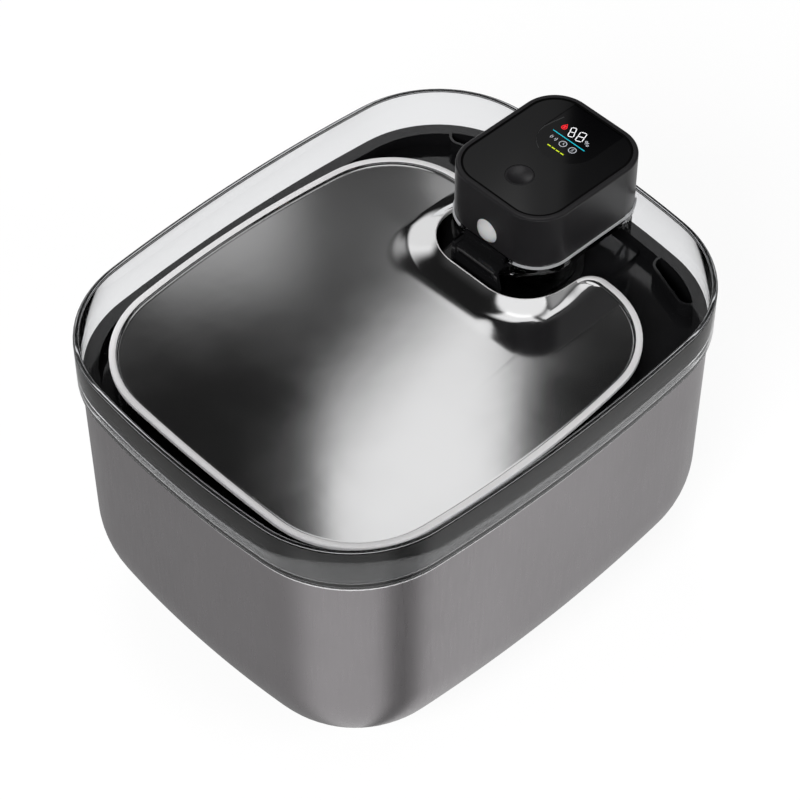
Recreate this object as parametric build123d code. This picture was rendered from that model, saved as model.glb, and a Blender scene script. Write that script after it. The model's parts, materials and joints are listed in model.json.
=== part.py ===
from build123d import *
import math
import os

# Pet water fountain: a steel tank, a clear collar, a filter deck, a notched steel drinking tray, and a
# pump column that carries a waterfall spout and a lift-off battery head.
# Millimetres, +Z up. The origin is on the floor under the middle of the footprint, +X points to the
# pump end, and the fountain is symmetric about the XZ plane.

os.makedirs("parts", exist_ok=True)

# ---------------------------------------------------------------- footprint
body_length = 260.0
body_width = 213.4
body_corner = 57.0
long_side_radius = 825.0
short_side_radius = 496.0
least_corner = 10.0

# ---------------------------------------------------------------- tank
foot_height = 1.5
foot_radius = 9.0
foot_chamfer = 0.4
foot_margin = 16.0
tank_height = 136.1
tank_wall = 1.0
tank_rim_inset = 1.4
rim_bead_height = 1.7
rim_bead_proud = 0.5
tank_draft = 0.7
tank_bottom_radius = 54.0
bottom_sections = 7

# ---------------------------------------------------------------- collar and its seal
seal_thickness = 1.2
seal_fit = 0.3
seal_leg = 0.6
seal_leg_height = 8.0
collar_height = 23.1
collar_wall = 2.6
collar_chamfer = 0.8
skirt_wall = 2.0
skirt_depth = 13.0
step_thickness = 1.6
step_width = 4.2

# ---------------------------------------------------------------- deck
deck_gap = 0.8
deck_wall = 2.0
deck_flange = 1.6
deck_drop = 7.5
deck_floor = 2.2
bay_rise = 3.0
bay_margin = 5.0
bay_wall = 2.0
guide_depth = 15.0
cup_length = 33.0
cup_width = 12.5
cup_wall = 1.2
cup_depth = 19.0
cup_angle = 19.0
cup_from_end = 16.2
cup_from_side = 44.7
support_height = 10.7
support_wall = 2.0
support_reach = 23.0
support_inset = 4.6
support_turn = 0.46
pad_thickness = 0.6

# ---------------------------------------------------------------- filter
well_length = 106.0
well_width = 120.0
well_corner = 12.0
well_from_front = 42.0
basket_wall = 1.8
basket_depth = 23.0
basket_lip = 1.2
basket_lip_width = 3.0
filter_fit = 0.5
filter_height = 20.4
filter_wall = 1.6
grid_bar = 2.0
grid_pitch = 20.0
grid_thickness = 1.6
cotton_height = 3.0
carbon_height = 9.0
tab_width = 24.0

# ---------------------------------------------------------------- drinking tray
tray_front_gap = 14.9
tray_side_gap = 11.6
tray_rear_gap = 43.1
tray_long_radius = 499.0
tray_short_radius = 1028.0
tray_front_corner_share = 0.262
tray_rear_corner_share = 0.74
tray_gauge = 0.8
tray_flange = 3.0
notch_flange = 1.5
tray_hem = 2.2
tray_depth = 1.8
tray_wall_run = 1.2
basin_steps = (0, 0.4, 0.8, 1)
hump_front_run = 19.9
hump_side_share = 0.125
notch_gap = 3.6
notch_side_gap = 3.7
notch_corner = 23.0
notch_foot_corner = 21.0
lobe_corner_share = 0.157
lobe_floor_share = 0.15

# ---------------------------------------------------------------- pump column
neck_setback = 20.7
neck_radius = 27.5
neck_flare = 2.8
neck_wall = 2.2
neck_fit = 0.6
neck_rise = 19.1
neck_seal_height = 2.0
neck_seal_width = 2.7
neck_depth = 35.0
column_fit = 1.1
column_wall = 2.0
housing_height = 60.0
volute_height = 14.0
volute_floor = 2.0
strainer_height = 14.0
strainer_slots = 18
strainer_slot = 2.6
strainer_border = 2.5
riser_radius = 4.8
riser_wall = 1.2
riser_inset = 10.1
riser_entry = 8.0
riser_socket = 5.0
socket_fit = 0.05
socket_wall = 2.0
rotor_share = 0.425
rotor_gap = 0.6
magnet_wall = 3.8
rotor_length = 20.0
rotor_lift = 2.0
can_wall = 1.4
can_head = 5.0
core_fit = 0.3
core_width = 6.0
core_short = 3.0
core_gap_share = 0.8
winding_short = 1.0
winding_depth = 5.0
winding_half_width = 5.0
winding_turn = 42
shaft_radius = 1.5
shaft_fit = 0.06
shaft_seat = 0.5
bush_height = 3.0
chamber_wall = 0.8
impeller_gap = 1.5
impeller_vanes = 6
vane_height = 5.5
vane_thickness = 1.4
eye_radius = 6.0
receiver_depth = 16.0
receiver_wall = 2.0
receiver_gap = 0.7
receiver_cut_gap = 0.5
coil_fit = 1.35
chip_width = 8.0
chip_height = 1.2
coil_band = 5.0
coil_thickness = 2.0
board_thickness = 1.6

# ---------------------------------------------------------------- spout
spout_front_gap = 3.6
spout_half_width = 12.2
spout_cheek = 1.8
spout_height = 13.0
spout_depth = 8.6
slit_height = 1.8
slit_half_width = 10.5
slit_drop = 4.6

# ---------------------------------------------------------------- head and cradle
head_length = 73.9
head_overhang = 0.7
head_corner = 18.0
head_rear_gap = 1.9
head_shell_height = 28.4
head_wall = 2.0
head_edge_radius = 1.2
head_plug = 3.7
plug_inset = 2.4
spigot_height = 2.2
spigot_inset = 2.1
spigot_wall = 1.3
panel_inset = 2.4
panel_groove = 0.45
panel_depth = 1.6
panel_thickness = 1.3
panel_web = 1.9
window_inset = 35.0
window_half_width = 14.9
window_round = 2.4
module_front_gap = 33.6
module_rear_gap = 10.4
module_half_width = 11.8
module_fit = 0.4
board_half_width = 20.0
board_front_gap = 3.5
board_rear_gap = 3.0
board_drop = 4.7
module_gap = 0.3
button_setback = 19.6
button_radius = 6.4
button_fit = 0.2
button_travel = 0.8
button_dish = 1.4
lens_radius = 6.0
lens_bulge = 2.8
lens_height = 7.1
sensor_radius = 4.4
sensor_depth = 2.2
socket_half_width = 4.2
socket_half_height = 1.3
socket_skin = 0.7
socket_reach = 9.0
socket_setback = 0.9
socket_back = 2.0
port_hole_gap = 1.0
cell_radius = 9.2
cell_length = 65.0
cell_spacing = 19.8
cell_tip = 1.2
base_floor = 2.2
base_shelf = 0.8
plug_fit = 0.4
holder_floor = 2.6
holder_wall = 1.6
holder_short = 1.5
holder_corner = 9.0
cradle_plate = 2.0
cradle_wall = 1.8
cradle_rim_gap = 0.5
cradle_rear_gap = 4.1
leg_half_width = 22.5
leg_wall = 2.2
gusset_reach = 12.0
gusset_wall = 1.6
port_half_width = 7.0
port_height = 7.2
port_cover = 1.4
port_bead = 0.9
port_fit = 0.1
screw_radius = 1.25
screw_head = 2.4
screw_length = 12.0
screw_row = 44.0
screw_side_gap = 6.5
screw_boss = 3.4

# ---------------------------------------------------------------- levels and places worked out from these
rim_z = foot_height + tank_height
collar_base_z = rim_z + seal_thickness
collar_top_z = collar_base_z + collar_height
step_z = collar_base_z + step_thickness
flange_z = step_z + deck_flange
deck_z = flange_z - deck_drop
bay_z = deck_z + bay_rise
tray_rim_z = deck_z + support_height + pad_thickness + tray_gauge + tray_depth
plate_z = bay_z + neck_rise
seat_z = plate_z + cradle_plate
shell_z = seat_z + head_plug
head_top_z = shell_z + head_shell_height
step_inset = collar_wall + step_width
deck_inset = collar_wall + deck_gap
deck_wall_inset = step_inset + deck_gap
head_rear_x = body_length / 2 - head_rear_gap
head_x = head_rear_x - head_length / 2
head_front_x = head_rear_x - head_length
neck_x = head_front_x + neck_setback
neck_flare_radius = neck_radius + neck_flare
column_radius = neck_radius - column_fit
head_width = 2 * (neck_flare_radius + head_overhang)
screw_spread = head_width - 2 * screw_side_gap
tray_length = body_length - tray_front_gap - tray_rear_gap
tray_width = body_width - 2 * tray_side_gap
tray_x = (tray_front_gap - tray_rear_gap) / 2
notch_front_x = neck_x - neck_radius - notch_gap
notch_half_width = head_width / 2 + notch_side_gap
lobe_width = tray_width / 2 - notch_half_width
tray_corner = tray_front_corner_share * tray_width
tray_rear_corner = tray_rear_corner_share * lobe_width
lobe_corner = lobe_corner_share * lobe_width
well_x = -body_length / 2 + well_from_front + well_length / 2
column_top_z = bay_z - neck_depth
housing_z = column_top_z - housing_height
volute_z = housing_z - volute_height
strainer_z = volute_z - strainer_height
riser_x = neck_x - neck_radius + riser_inset
chamber_radius = neck_radius - riser_inset - riser_radius - chamber_wall
impeller_radius = chamber_radius - impeller_gap


# ---------------------------------------------------------------- outlines
def crossing(centre_a, radius_a, centre_b, radius_b):
    """The upper right point where two circles cross."""
    dx = centre_b[0] - centre_a[0]
    dy = centre_b[1] - centre_a[1]
    apart = math.hypot(dx, dy)
    along = (radius_a**2 - radius_b**2 + apart**2) / (2 * apart)
    across = math.sqrt(radius_a**2 - along**2)
    foot = (centre_a[0] + along * dx / apart, centre_a[1] + along * dy / apart)
    points = [
        (foot[0] - side * across * dy / apart, foot[1] + side * across * dx / apart)
        for side in (1, -1)
    ]
    return max(points, key=sum)


def bowed_quad(length, width, long_radius, short_radius, inset):
    """A rectangle with outward bowed sides and sharp corners, moved in by inset all round."""
    half_x = length / 2 - inset
    half_y = width / 2 - inset
    long_arc = long_radius - inset
    short_arc = short_radius - inset
    x, y = crossing((0, half_y - long_arc), long_arc, (half_x - short_arc, 0), short_arc)
    sides = [
        ThreePointArc((x, -y), (half_x, 0), (x, y)),
        ThreePointArc((x, y), (0, half_y), (-x, y)),
        ThreePointArc((-x, y), (-half_x, 0), (-x, -y)),
        ThreePointArc((-x, -y), (0, -half_y), (x, -y)),
    ]
    return make_face(sides)


def body_face(inset=0.0):
    """The fountain's plan outline, moved in by inset."""
    face = bowed_quad(body_length, body_width, long_side_radius, short_side_radius, inset)
    return fillet(face.vertices(), max(body_corner - inset, least_corner))


def head_face(inset=0.0):
    """The head's plan outline, moved in by inset."""
    corner = head_corner - inset
    outline = RectangleRounded(head_length - 2 * inset, head_width - 2 * inset, corner)
    return Pos(head_x, 0) * outline


def tray_face(inset, front_run, side_run, corner, rear_corner, lobe):
    """The tray's notched outline. The outer sides move in by inset, the notch grows by its two runs."""
    quad = bowed_quad(tray_length, tray_width, tray_long_radius, tray_short_radius, inset)
    front = [v for v in quad.vertices() if v.X < 0]
    quad = fillet(front, tray_corner - inset)
    rear = [v for v in quad.vertices() if v.X > tray_length / 4 and abs(v.Y) > tray_width / 4]
    outer = Pos(tray_x, 0) * fillet(sorted(rear, key=lambda v: -v.X)[:2], rear_corner)
    reach = tray_x + tray_length / 2 - notch_front_x + front_run + 2 * notch_corner
    half_width = notch_half_width + side_run
    start_x = notch_front_x - front_run
    face = outer - Pos(start_x + reach / 2, 0) * RectangleRounded(reach, 2 * half_width, corner)
    straight_x = start_x + corner + 0.01
    tips = [v for v in face.vertices() if v.X > straight_x and abs(abs(v.Y) - half_width) < 0.01]
    return fillet(tips, lobe)


def tray_outline(inset):
    """The tray's outline, moved in by inset all round."""
    rear_corner = tray_rear_corner - inset
    return tray_face(inset, inset, inset, notch_corner + inset, rear_corner, lobe_corner - inset)


def ring(outer_inset, inner_inset, low, high):
    """A band that follows the body outline between two insets."""
    face = body_face(outer_inset) - body_face(inner_inset)
    return extrude(Pos(0, 0, low) * face, high - low)


def disc(radius, low, high, x=0.0, y=0.0):
    """An upright cylinder between two levels."""
    return Pos(x, y, (low + high) / 2) * Cylinder(radius, high - low)


def block(low, high):
    """A box between two corners."""
    size = [b - a for a, b in zip(low, high)]
    middle = [(a + b) / 2 for a, b in zip(low, high)]
    return Pos(*middle) * Box(*size)


def save(shape, name):
    """Writes one node."""
    export_step(shape, f"parts/{name}.step")


# ---------------------------------------------------------------- tank
def tub(offset):
    """The tank's outer form, moved in by offset: a big soft bottom radius and nearly upright walls."""
    floor_z = foot_height + offset
    radius = tank_bottom_radius - offset
    wall_inset = tank_rim_inset + rim_bead_proud + tank_draft + offset
    sections = []
    for step in range(bottom_sections):
        turn = step / (bottom_sections - 1) * math.pi / 2
        z = floor_z + radius * (1 - math.cos(turn))
        inset = wall_inset + radius * (1 - math.sin(turn))
        sections.append(Pos(0, 0, z) * body_face(inset))
    sections.append(Pos(0, 0, rim_z) * body_face(wall_inset - tank_draft))
    return loft(sections, ruled=True)


def tank_shell():
    """Deep drawn steel tub with a rolled bead at its rim."""
    bead_z = rim_z - rim_bead_height
    bead = ring(tank_rim_inset, tank_rim_inset + rim_bead_proud + tank_wall / 2, bead_z, rim_z)
    tops = bead.edges().filter_by_position(Axis.Z, rim_z - 0.01, rim_z + 0.01)
    bead = chamfer(tops, rim_bead_proud * 0.8)
    return tub(0) + bead - tub(tank_wall)


def tank_feet():
    """Four round silicone feet under the flat of the tank's floor."""
    flat_inset = tank_rim_inset + rim_bead_proud + tank_draft + tank_bottom_radius
    x = body_length / 2 - flat_inset - foot_margin
    y = body_width / 2 - flat_inset - foot_margin
    foot = chamfer(Cylinder(foot_radius, foot_height).edges().sort_by(Axis.Z)[:1], foot_chamfer)
    places = [(sx * x, sy * y) for sx in (1, -1) for sy in (1, -1)]
    return Compound([Pos(px, py, foot_height / 2) * foot for px, py in places])


# ---------------------------------------------------------------- collar
skirt_inset = tank_rim_inset + rim_bead_proud + tank_wall + seal_fit + seal_leg


def collar():
    """Clear collar: upright wall, inner step that carries the deck, and a skirt that locates in the tank."""
    wall = ring(0, collar_wall, collar_base_z, collar_top_z)
    tops = wall.edges().filter_by_position(Axis.Z, collar_top_z - 0.01, collar_top_z + 0.01)
    wall = chamfer(tops, collar_chamfer)
    step = ring(collar_wall - 0.1, step_inset, collar_base_z, step_z)
    low = collar_base_z - skirt_depth
    skirt = ring(skirt_inset, skirt_inset + skirt_wall, low, collar_base_z)
    return wall + step + skirt


def rim_seal():
    """Silicone ring of L section: a flat under the collar and a leg down its skirt."""
    flat = ring(tank_rim_inset - 0.3, skirt_inset, rim_z, collar_base_z)
    leg = ring(skirt_inset - seal_leg, skirt_inset, rim_z - seal_leg_height, rim_z)
    return flat + leg


# ---------------------------------------------------------------- deck
def bay_face(margin):
    """The pump bay: the head's outline and the round neck seat together, grown by margin."""
    seat = Pos(neck_x, 0) * Circle(neck_radius + neck_fit + margin / 2)
    return head_face(-margin) + seat


def cup_face(side, inset):
    """A finger cup's pill outline, tangent to the deck's rear corner."""
    x = body_length / 2 - cup_from_end
    y = side * (body_width / 2 - cup_from_side)
    pill = SlotOverall(cup_length - 2 * inset, cup_width - 2 * inset)
    return Pos(x, y) * Rot(0, 0, 90 + side * cup_angle) * pill


def support_ring(low, high):
    """The four corner ribs that carry the tray's floor."""
    band = tray_outline(support_inset) - tray_outline(support_inset + support_wall)
    spots = []
    for end, corner in ((-1, tray_corner), (1, tray_rear_corner)):
        x = tray_x + end * (tray_length / 2 - corner * (1 - math.sqrt(0.5)))
        y = tray_width / 2 - corner * support_turn
        spots += [(x, y), (x, -y)]
    ribs = [band & (Pos(x, y) * Circle(support_reach)) for x, y in spots]
    return Compound([extrude(Pos(0, 0, low) * rib, high - low) for rib in ribs])


def deck():
    """Black deck: a border that hangs on the collar's step, a sunk floor, pump bay and finger cups."""
    under_z = deck_z - deck_floor
    solid = extrude(Pos(0, 0, under_z) * body_face(deck_wall_inset), flange_z - under_z)
    solid += ring(deck_inset, deck_wall_inset + 0.1, step_z, flange_z)
    hollow_inset = deck_wall_inset + deck_wall
    solid -= extrude(Pos(0, 0, deck_z) * body_face(hollow_inset), deck_drop + 1)
    bay = bay_face(bay_margin) & body_face(deck_wall_inset)
    solid += extrude(Pos(0, 0, under_z) * bay, bay_z - under_z)
    pocket = bay_face(bay_margin - bay_wall) & body_face(hollow_inset)
    solid -= extrude(Pos(0, 0, under_z - 1) * pocket, bay_z - deck_floor - under_z + 1)
    guide_low = bay_z - deck_floor - guide_depth
    bore = neck_radius + neck_fit
    solid += disc(bore + bay_wall, guide_low, bay_z - deck_floor, neck_x)
    for side in (1, -1):
        low = flange_z - cup_depth
        inner = body_face(deck_wall_inset)
        solid += extrude(Pos(0, 0, low) * (cup_face(side, 0) & inner), cup_depth)
        solid += extrude(Pos(0, 0, step_z) * (cup_face(side, 0) & body_face(deck_inset)), deck_flange)
    for side in (1, -1):
        low = flange_z - cup_depth + cup_wall
        hollow = cup_face(side, cup_wall) & body_face(deck_wall_inset + cup_wall)
        solid -= extrude(Pos(0, 0, low) * hollow, cup_depth)
    solid -= disc(bore, guide_low - 1, bay_z + 1, neck_x)
    well = Pos(well_x, 0) * RectangleRounded(well_length, well_width, well_corner)
    solid -= extrude(Pos(0, 0, under_z - 1) * well, deck_floor + 2)
    lip = well_face(-basket_lip_width)
    solid -= extrude(Pos(0, 0, deck_z - basket_lip) * lip, basket_lip + 1)
    for rib in support_ring(deck_z - 0.2, deck_z + support_height):
        solid += rib
    return solid


def tray_pads():
    """Silicone caps on the four corner ribs, under the tray's floor."""
    low = deck_z + support_height
    return support_ring(low, low + pad_thickness)


# ---------------------------------------------------------------- filter basket and cartridge
def well_face(inset):
    """The filter well's outline, moved in by inset."""
    corner = well_corner - inset
    outline = RectangleRounded(well_length - 2 * inset, well_width - 2 * inset, corner)
    return Pos(well_x, 0) * outline


def grid(inset, low):
    """A flat grid of bars inside the well outline."""
    outline = well_face(inset)
    half_x = well_length / 2 - inset
    half_y = well_width / 2 - inset
    columns = int((2 * half_x - grid_bar) // grid_pitch)
    rows = int((2 * half_y - grid_bar) // grid_pitch)
    cell_x = (2 * half_x - grid_bar) / columns
    cell_y = (2 * half_y - grid_bar) / rows
    holes = GridLocations(cell_x, cell_y, columns, rows) * Rectangle(cell_x - grid_bar, cell_y - grid_bar)
    bars = outline - [Pos(well_x, 0) * hole for hole in holes]
    border = well_face(inset) - well_face(inset + 2 * grid_bar)
    return extrude(Pos(0, 0, low) * (bars + border), grid_thickness)


def filter_basket():
    """Basket that hangs in the deck's well and holds the cartridge."""
    low = deck_z - basket_depth
    wall = well_face(0.2) - well_face(0.2 + basket_wall)
    lip = well_face(0.2 - basket_lip_width) - well_face(0.2 + basket_wall)
    basket = extrude(Pos(0, 0, low) * wall, basket_depth)
    basket += extrude(Pos(0, 0, deck_z - basket_lip) * lip, basket_lip)
    return basket + grid(0.2, low)


cartridge_inset = 0.2 + basket_wall + filter_fit
cartridge_z = deck_z - basket_depth + grid_thickness
media_inset = cartridge_inset + filter_wall
media_z = cartridge_z + grid_thickness


def filter_frame():
    """Cartridge frame: four walls and a grid floor."""
    wall = well_face(cartridge_inset) - well_face(media_inset)
    frame = extrude(Pos(0, 0, cartridge_z) * wall, filter_height - grid_thickness)
    return frame + grid(cartridge_inset, cartridge_z)


def filter_lid():
    """Grid lid of the cartridge with a pull tab."""
    lid_z = cartridge_z + filter_height - grid_thickness
    lid = grid(cartridge_inset, lid_z)
    tab = block((well_x - tab_width / 2, -4, lid_z), (well_x + tab_width / 2, 4, lid_z + grid_thickness))
    return lid + tab


def media(low, high):
    """One flat layer of filter media."""
    layer = extrude(Pos(0, 0, low) * well_face(media_inset), high - low)
    return layer


# ---------------------------------------------------------------- drinking tray
def basin(offset):
    """The shallow dish and its hump, moved out and down by offset."""
    sections = []
    for share in basin_steps:
        inset = tray_flange + tray_wall_run * (1 - math.sqrt(1 - share**2))
        climb = 1 - math.sqrt(1 - share)
        front_run = notch_flange + hump_front_run * climb
        side_run = notch_flange + hump_side_share * lobe_width * climb
        corner = (notch_corner + notch_flange) * (1 - climb) + notch_foot_corner * climb
        lobe = (lobe_corner - tray_flange) * (1 - climb) + lobe_floor_share * lobe_corner * climb
        rear_corner = tray_rear_corner - inset + offset
        runs = (inset - offset, front_run - offset, side_run - offset)
        face = tray_face(*runs, corner - offset, rear_corner, lobe + offset)
        sections.append(Pos(0, 0, tray_rim_z - tray_depth * share - offset) * face)
    return loft(sections, ruled=True)


def drinking_tray():
    """Pressed steel tray: hemmed flange, shallow dish and a smooth hump that rises to the notch."""
    flange = extrude(Pos(0, 0, tray_rim_z - tray_gauge) * tray_outline(0), tray_gauge)
    skirt = tray_outline(0) - tray_outline(tray_gauge)
    hem = extrude(Pos(0, 0, tray_rim_z - tray_hem) * skirt, tray_hem)
    return flange + hem + basin(tray_gauge) - basin(0)


# ---------------------------------------------------------------- pump column
def tube(outer, inner, low, high, x=neck_x):
    """An upright tube."""
    return disc(outer, low, high, x) - disc(inner, low - 1, high + 1, x)


def flare(radius_low, radius_high, low, high):
    """A cone on the neck's axis."""
    cone = Cone(radius_low, radius_high, high - low)
    return Pos(neck_x, 0, (low + high) / 2) * cone


spout_front_x = notch_front_x + spout_front_gap
spout_top_z = plate_z + 0.5
spout_low_z = spout_top_z - spout_height
spout_rear_x = spout_front_x + spout_depth
spout_half = spout_half_width + spout_cheek


def spout_window(grow):
    """The box that the spout takes out of the neck and the cradle's front."""
    low = (spout_front_x - spout_depth, -spout_half - grow, spout_low_z - grow)
    high = (spout_rear_x + grow, spout_half + grow, shell_z)
    return block(low, high)


def neck_tube():
    """Clear neck: a tube in the deck's bore that flares to the cradle above it."""
    seal_top = bay_z + neck_seal_height
    neck = disc(neck_radius, column_top_z, seal_top, neck_x)
    neck += flare(neck_radius, neck_flare_radius, seal_top, plate_z)
    hollow = disc(neck_radius - neck_wall, column_top_z - 1, seal_top, neck_x)
    hollow += flare(neck_radius - neck_wall, neck_flare_radius - neck_wall, seal_top, plate_z + 0.01)
    return neck - hollow - spout_window(0.1)


def neck_seal():
    """Silicone ring between the neck and the deck's bay."""
    return tube(neck_radius + neck_seal_width, neck_radius + socket_fit, bay_z, bay_z + neck_seal_height)


def cradle():
    """Clear cradle: a plate and rim that hold the head, and a rear leg that stands on the deck's border."""
    rear_x = body_length / 2 - cradle_rear_gap
    keep = block((0, -head_width, plate_z - 1), (rear_x, head_width, shell_z + 1))
    rim_z_top = shell_z - cradle_rim_gap
    plate_face = head_face(0) + Pos(neck_x, 0) * Circle(neck_flare_radius)
    plate = extrude(Pos(0, 0, plate_z) * plate_face, cradle_plate)
    rim = extrude(Pos(0, 0, plate_z) * (head_face(0) - head_face(cradle_wall)), rim_z_top - plate_z)
    rear_wall = block((rear_x - cradle_wall, -leg_half_width, plate_z), (rear_x, leg_half_width, rim_z_top))
    leg_low = (rear_x - leg_wall, -leg_half_width, flange_z)
    leg = block(leg_low, (rear_x, leg_half_width, plate_z + 0.1))
    body = (plate + rim) & keep
    body += rear_wall & (Pos(0, 0, plate_z) * extrude(head_face(0), 20))
    body += leg
    for side in (1, -1):
        y = side * (leg_half_width - gusset_wall / 2)
        corner = (rear_x - leg_wall + 0.1, plate_z + 0.1)
        profile = make_face(
            Polyline(
                corner,
                (corner[0] - gusset_reach, corner[1]),
                (corner[0], corner[1] - gusset_reach),
                close=True,
            )
        )
        web = extrude(Plane.XZ * profile, gusset_wall / 2, both=True)
        body += Pos(0, y, 0) * web
    return body - spout_window(0.1)


def spout():
    """Black waterfall spout: a box with a wide slit, cheeks at its ends and a socket for the riser."""
    corner = (spout_front_x, -spout_half_width, spout_low_z)
    body = block(corner, (spout_rear_x, spout_half_width, spout_top_z))
    for side in (1, -1):
        inner = side * (spout_half_width - 0.1)
        outer = side * spout_half
        low = (spout_front_x - 0.5, min(inner, outer), spout_low_z + 0.6)
        high = (spout_rear_x, max(inner, outer), spout_top_z + 0.5)
        body += block(low, high)
    body += block((head_front_x - 2, -spout_half_width, spout_top_z - 0.1), (head_front_x, spout_half_width,
                  shell_z - cradle_rim_gap))
    socket = disc(riser_radius + socket_wall, spout_low_z, spout_top_z - 2, riser_x)
    body += socket
    slit_z = spout_top_z - slit_drop
    body -= block((spout_front_x - 2, -slit_half_width, slit_z), (spout_rear_x - 3, slit_half_width,
                  slit_z + slit_height))
    body -= block((spout_front_x + 2, -slit_half_width, slit_z - 2), (riser_x, slit_half_width,
                  slit_z + slit_height))
    body -= disc(riser_radius + socket_fit, spout_low_z - 1, spout_low_z + riser_socket, riser_x)
    body -= disc(riser_radius - riser_wall, spout_low_z - 1, slit_z, riser_x)
    return body


def riser_tube():
    """Tube that lifts the water from the volute to the spout."""
    low = volute_z + riser_entry
    return tube(riser_radius, riser_radius - riser_wall, low, spout_low_z + riser_socket, riser_x)


receiver_z = plate_z - receiver_depth
receiver_radius = neck_radius - neck_wall - receiver_gap
receiver_cut_x = riser_x + riser_radius + socket_wall + receiver_cut_gap
receiver_low_x = receiver_cut_x + receiver_wall
receiver_high_x = neck_x + receiver_radius - receiver_wall
receiver_x = (receiver_low_x + receiver_high_x) / 2
receiver_coil_radius = (receiver_high_x - receiver_low_x) / 2 - coil_fit


def half_moon(inset, low, high):
    """A round block on the neck's axis, cut flat on the riser's side and moved in by inset."""
    keep = block((receiver_cut_x + inset, -body_width, low - 1), (body_length, body_width, high + 1))
    return disc(receiver_radius - inset, low, high, neck_x) & keep


def receiver_cup():
    """Sealed cup under the cradle plate that keeps the receiver dry."""
    room = half_moon(receiver_wall, receiver_z + receiver_wall, plate_z + 1)
    return half_moon(0, receiver_z, plate_z) - room


def coil(low, high):
    """A flat wound coil."""
    return tube(receiver_coil_radius, receiver_coil_radius - coil_band, low, high, receiver_x)


def receiver_board():
    """Round circuit board in the receiver cup."""
    low = receiver_z + receiver_wall
    top = low + board_thickness
    board = disc(receiver_coil_radius, low, top, receiver_x)
    half = chip_width / 2
    chip = block((receiver_x - half, -half, top), (receiver_x + half, half, top + chip_height))
    return board + chip


rotor_low_z = housing_z + rotor_lift
rotor_high_z = rotor_low_z + rotor_length
rotor_radius = rotor_share * (neck_x - riser_x)
can_radius = rotor_radius + rotor_gap
can_top_z = rotor_high_z + can_head
core_radius = can_radius + can_wall + core_fit
riser_bore = riser_radius + socket_fit


def pump_housing():
    """Dry motor housing with the rotor can in its floor and a pass for the riser."""
    outer = disc(column_radius, housing_z, column_top_z, neck_x)
    cavity = disc(column_radius - column_wall, housing_z + 2.4, column_top_z - 2.4, neck_x)
    body = outer - cavity
    body += disc(can_radius + can_wall, housing_z, can_top_z + can_wall, neck_x)
    body += disc(riser_bore + can_wall, housing_z, column_top_z, riser_x) & outer
    body -= disc(can_radius, housing_z - 1, can_top_z, neck_x)
    body -= disc(riser_bore, housing_z - 1, column_top_z + 1, riser_x)
    ears = disc(neck_radius - neck_wall - 0.2, column_top_z, column_top_z + 3, neck_x)
    ears -= disc(neck_radius - neck_wall - 2.2, column_top_z - 1, column_top_z + 4, neck_x)
    ears -= disc(riser_bore + can_wall, column_top_z - 1, column_top_z + 4, riser_x)
    return body + ears


def stator_core():
    """C-shaped laminated core round the rotor can."""
    low = rotor_low_z + core_short
    high = rotor_high_z - core_short
    core = tube(core_radius + core_width, core_radius, low, high)
    gap_x = neck_x - core_gap_share * core_radius
    gap = block((neck_x - column_radius, -column_radius, low - 1), (gap_x, column_radius, high + 1))
    return core - gap


def stator_winding():
    """Two coils on the core's back."""
    low = rotor_low_z + winding_short
    high = rotor_high_z - winding_short
    inner = core_radius + core_width + core_fit
    coils = []
    for side in (1, -1):
        turn = Rot(0, 0, side * winding_turn)
        bobbin = block((inner, -winding_half_width, low), (inner + winding_depth, winding_half_width, high))
        coils.append(Pos(neck_x, 0, 0) * turn * bobbin)
    return Compound(coils)


def volute_cover():
    """Impeller chamber with an inlet eye, a shaft spider and an outlet to the riser."""
    body = disc(column_radius, volute_z, housing_z, neck_x)
    body -= disc(chamber_radius, volute_z + volute_floor, housing_z + 1, neck_x)
    outlet_low = (riser_x - 2, -riser_radius + riser_wall, volute_z + volute_floor + 1.5)
    entry_z = volute_z + riser_entry
    body -= block(outlet_low, (neck_x - chamber_radius + 2, riser_radius - riser_wall, entry_z))
    body -= disc(riser_radius - riser_wall, volute_z + volute_floor + 1.5, entry_z + 1, riser_x)
    body -= disc(riser_bore, entry_z, housing_z + 1, riser_x)
    body -= disc(eye_radius, volute_z - 1, volute_z + volute_floor + 1, neck_x)
    body += disc(shaft_radius + 1.6, volute_z, volute_z + volute_floor, neck_x)
    for turn in (0, 120, 240):
        arm = block((0, -0.8, volute_z), (eye_radius + 0.5, 0.8, volute_z + volute_floor))
        body += Pos(neck_x, 0, 0) * Rot(0, 0, turn) * arm
    return body - disc(shaft_radius, volute_z + shaft_seat, volute_z + volute_floor + 1, neck_x)


shaft_low_z = volute_z + shaft_seat
shaft_high_z = can_top_z


def impeller_shaft():
    """Fixed ceramic shaft."""
    return disc(shaft_radius, shaft_low_z, shaft_high_z, neck_x)


def top_bush():
    """Rubber bush that holds the shaft's upper end in the can."""
    return tube(can_radius, shaft_radius, can_top_z - bush_height, can_top_z)


vane_low_z = volute_z + volute_floor + 0.8
vane_high_z = vane_low_z + vane_height
stem_radius = rotor_radius - magnet_wall


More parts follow.
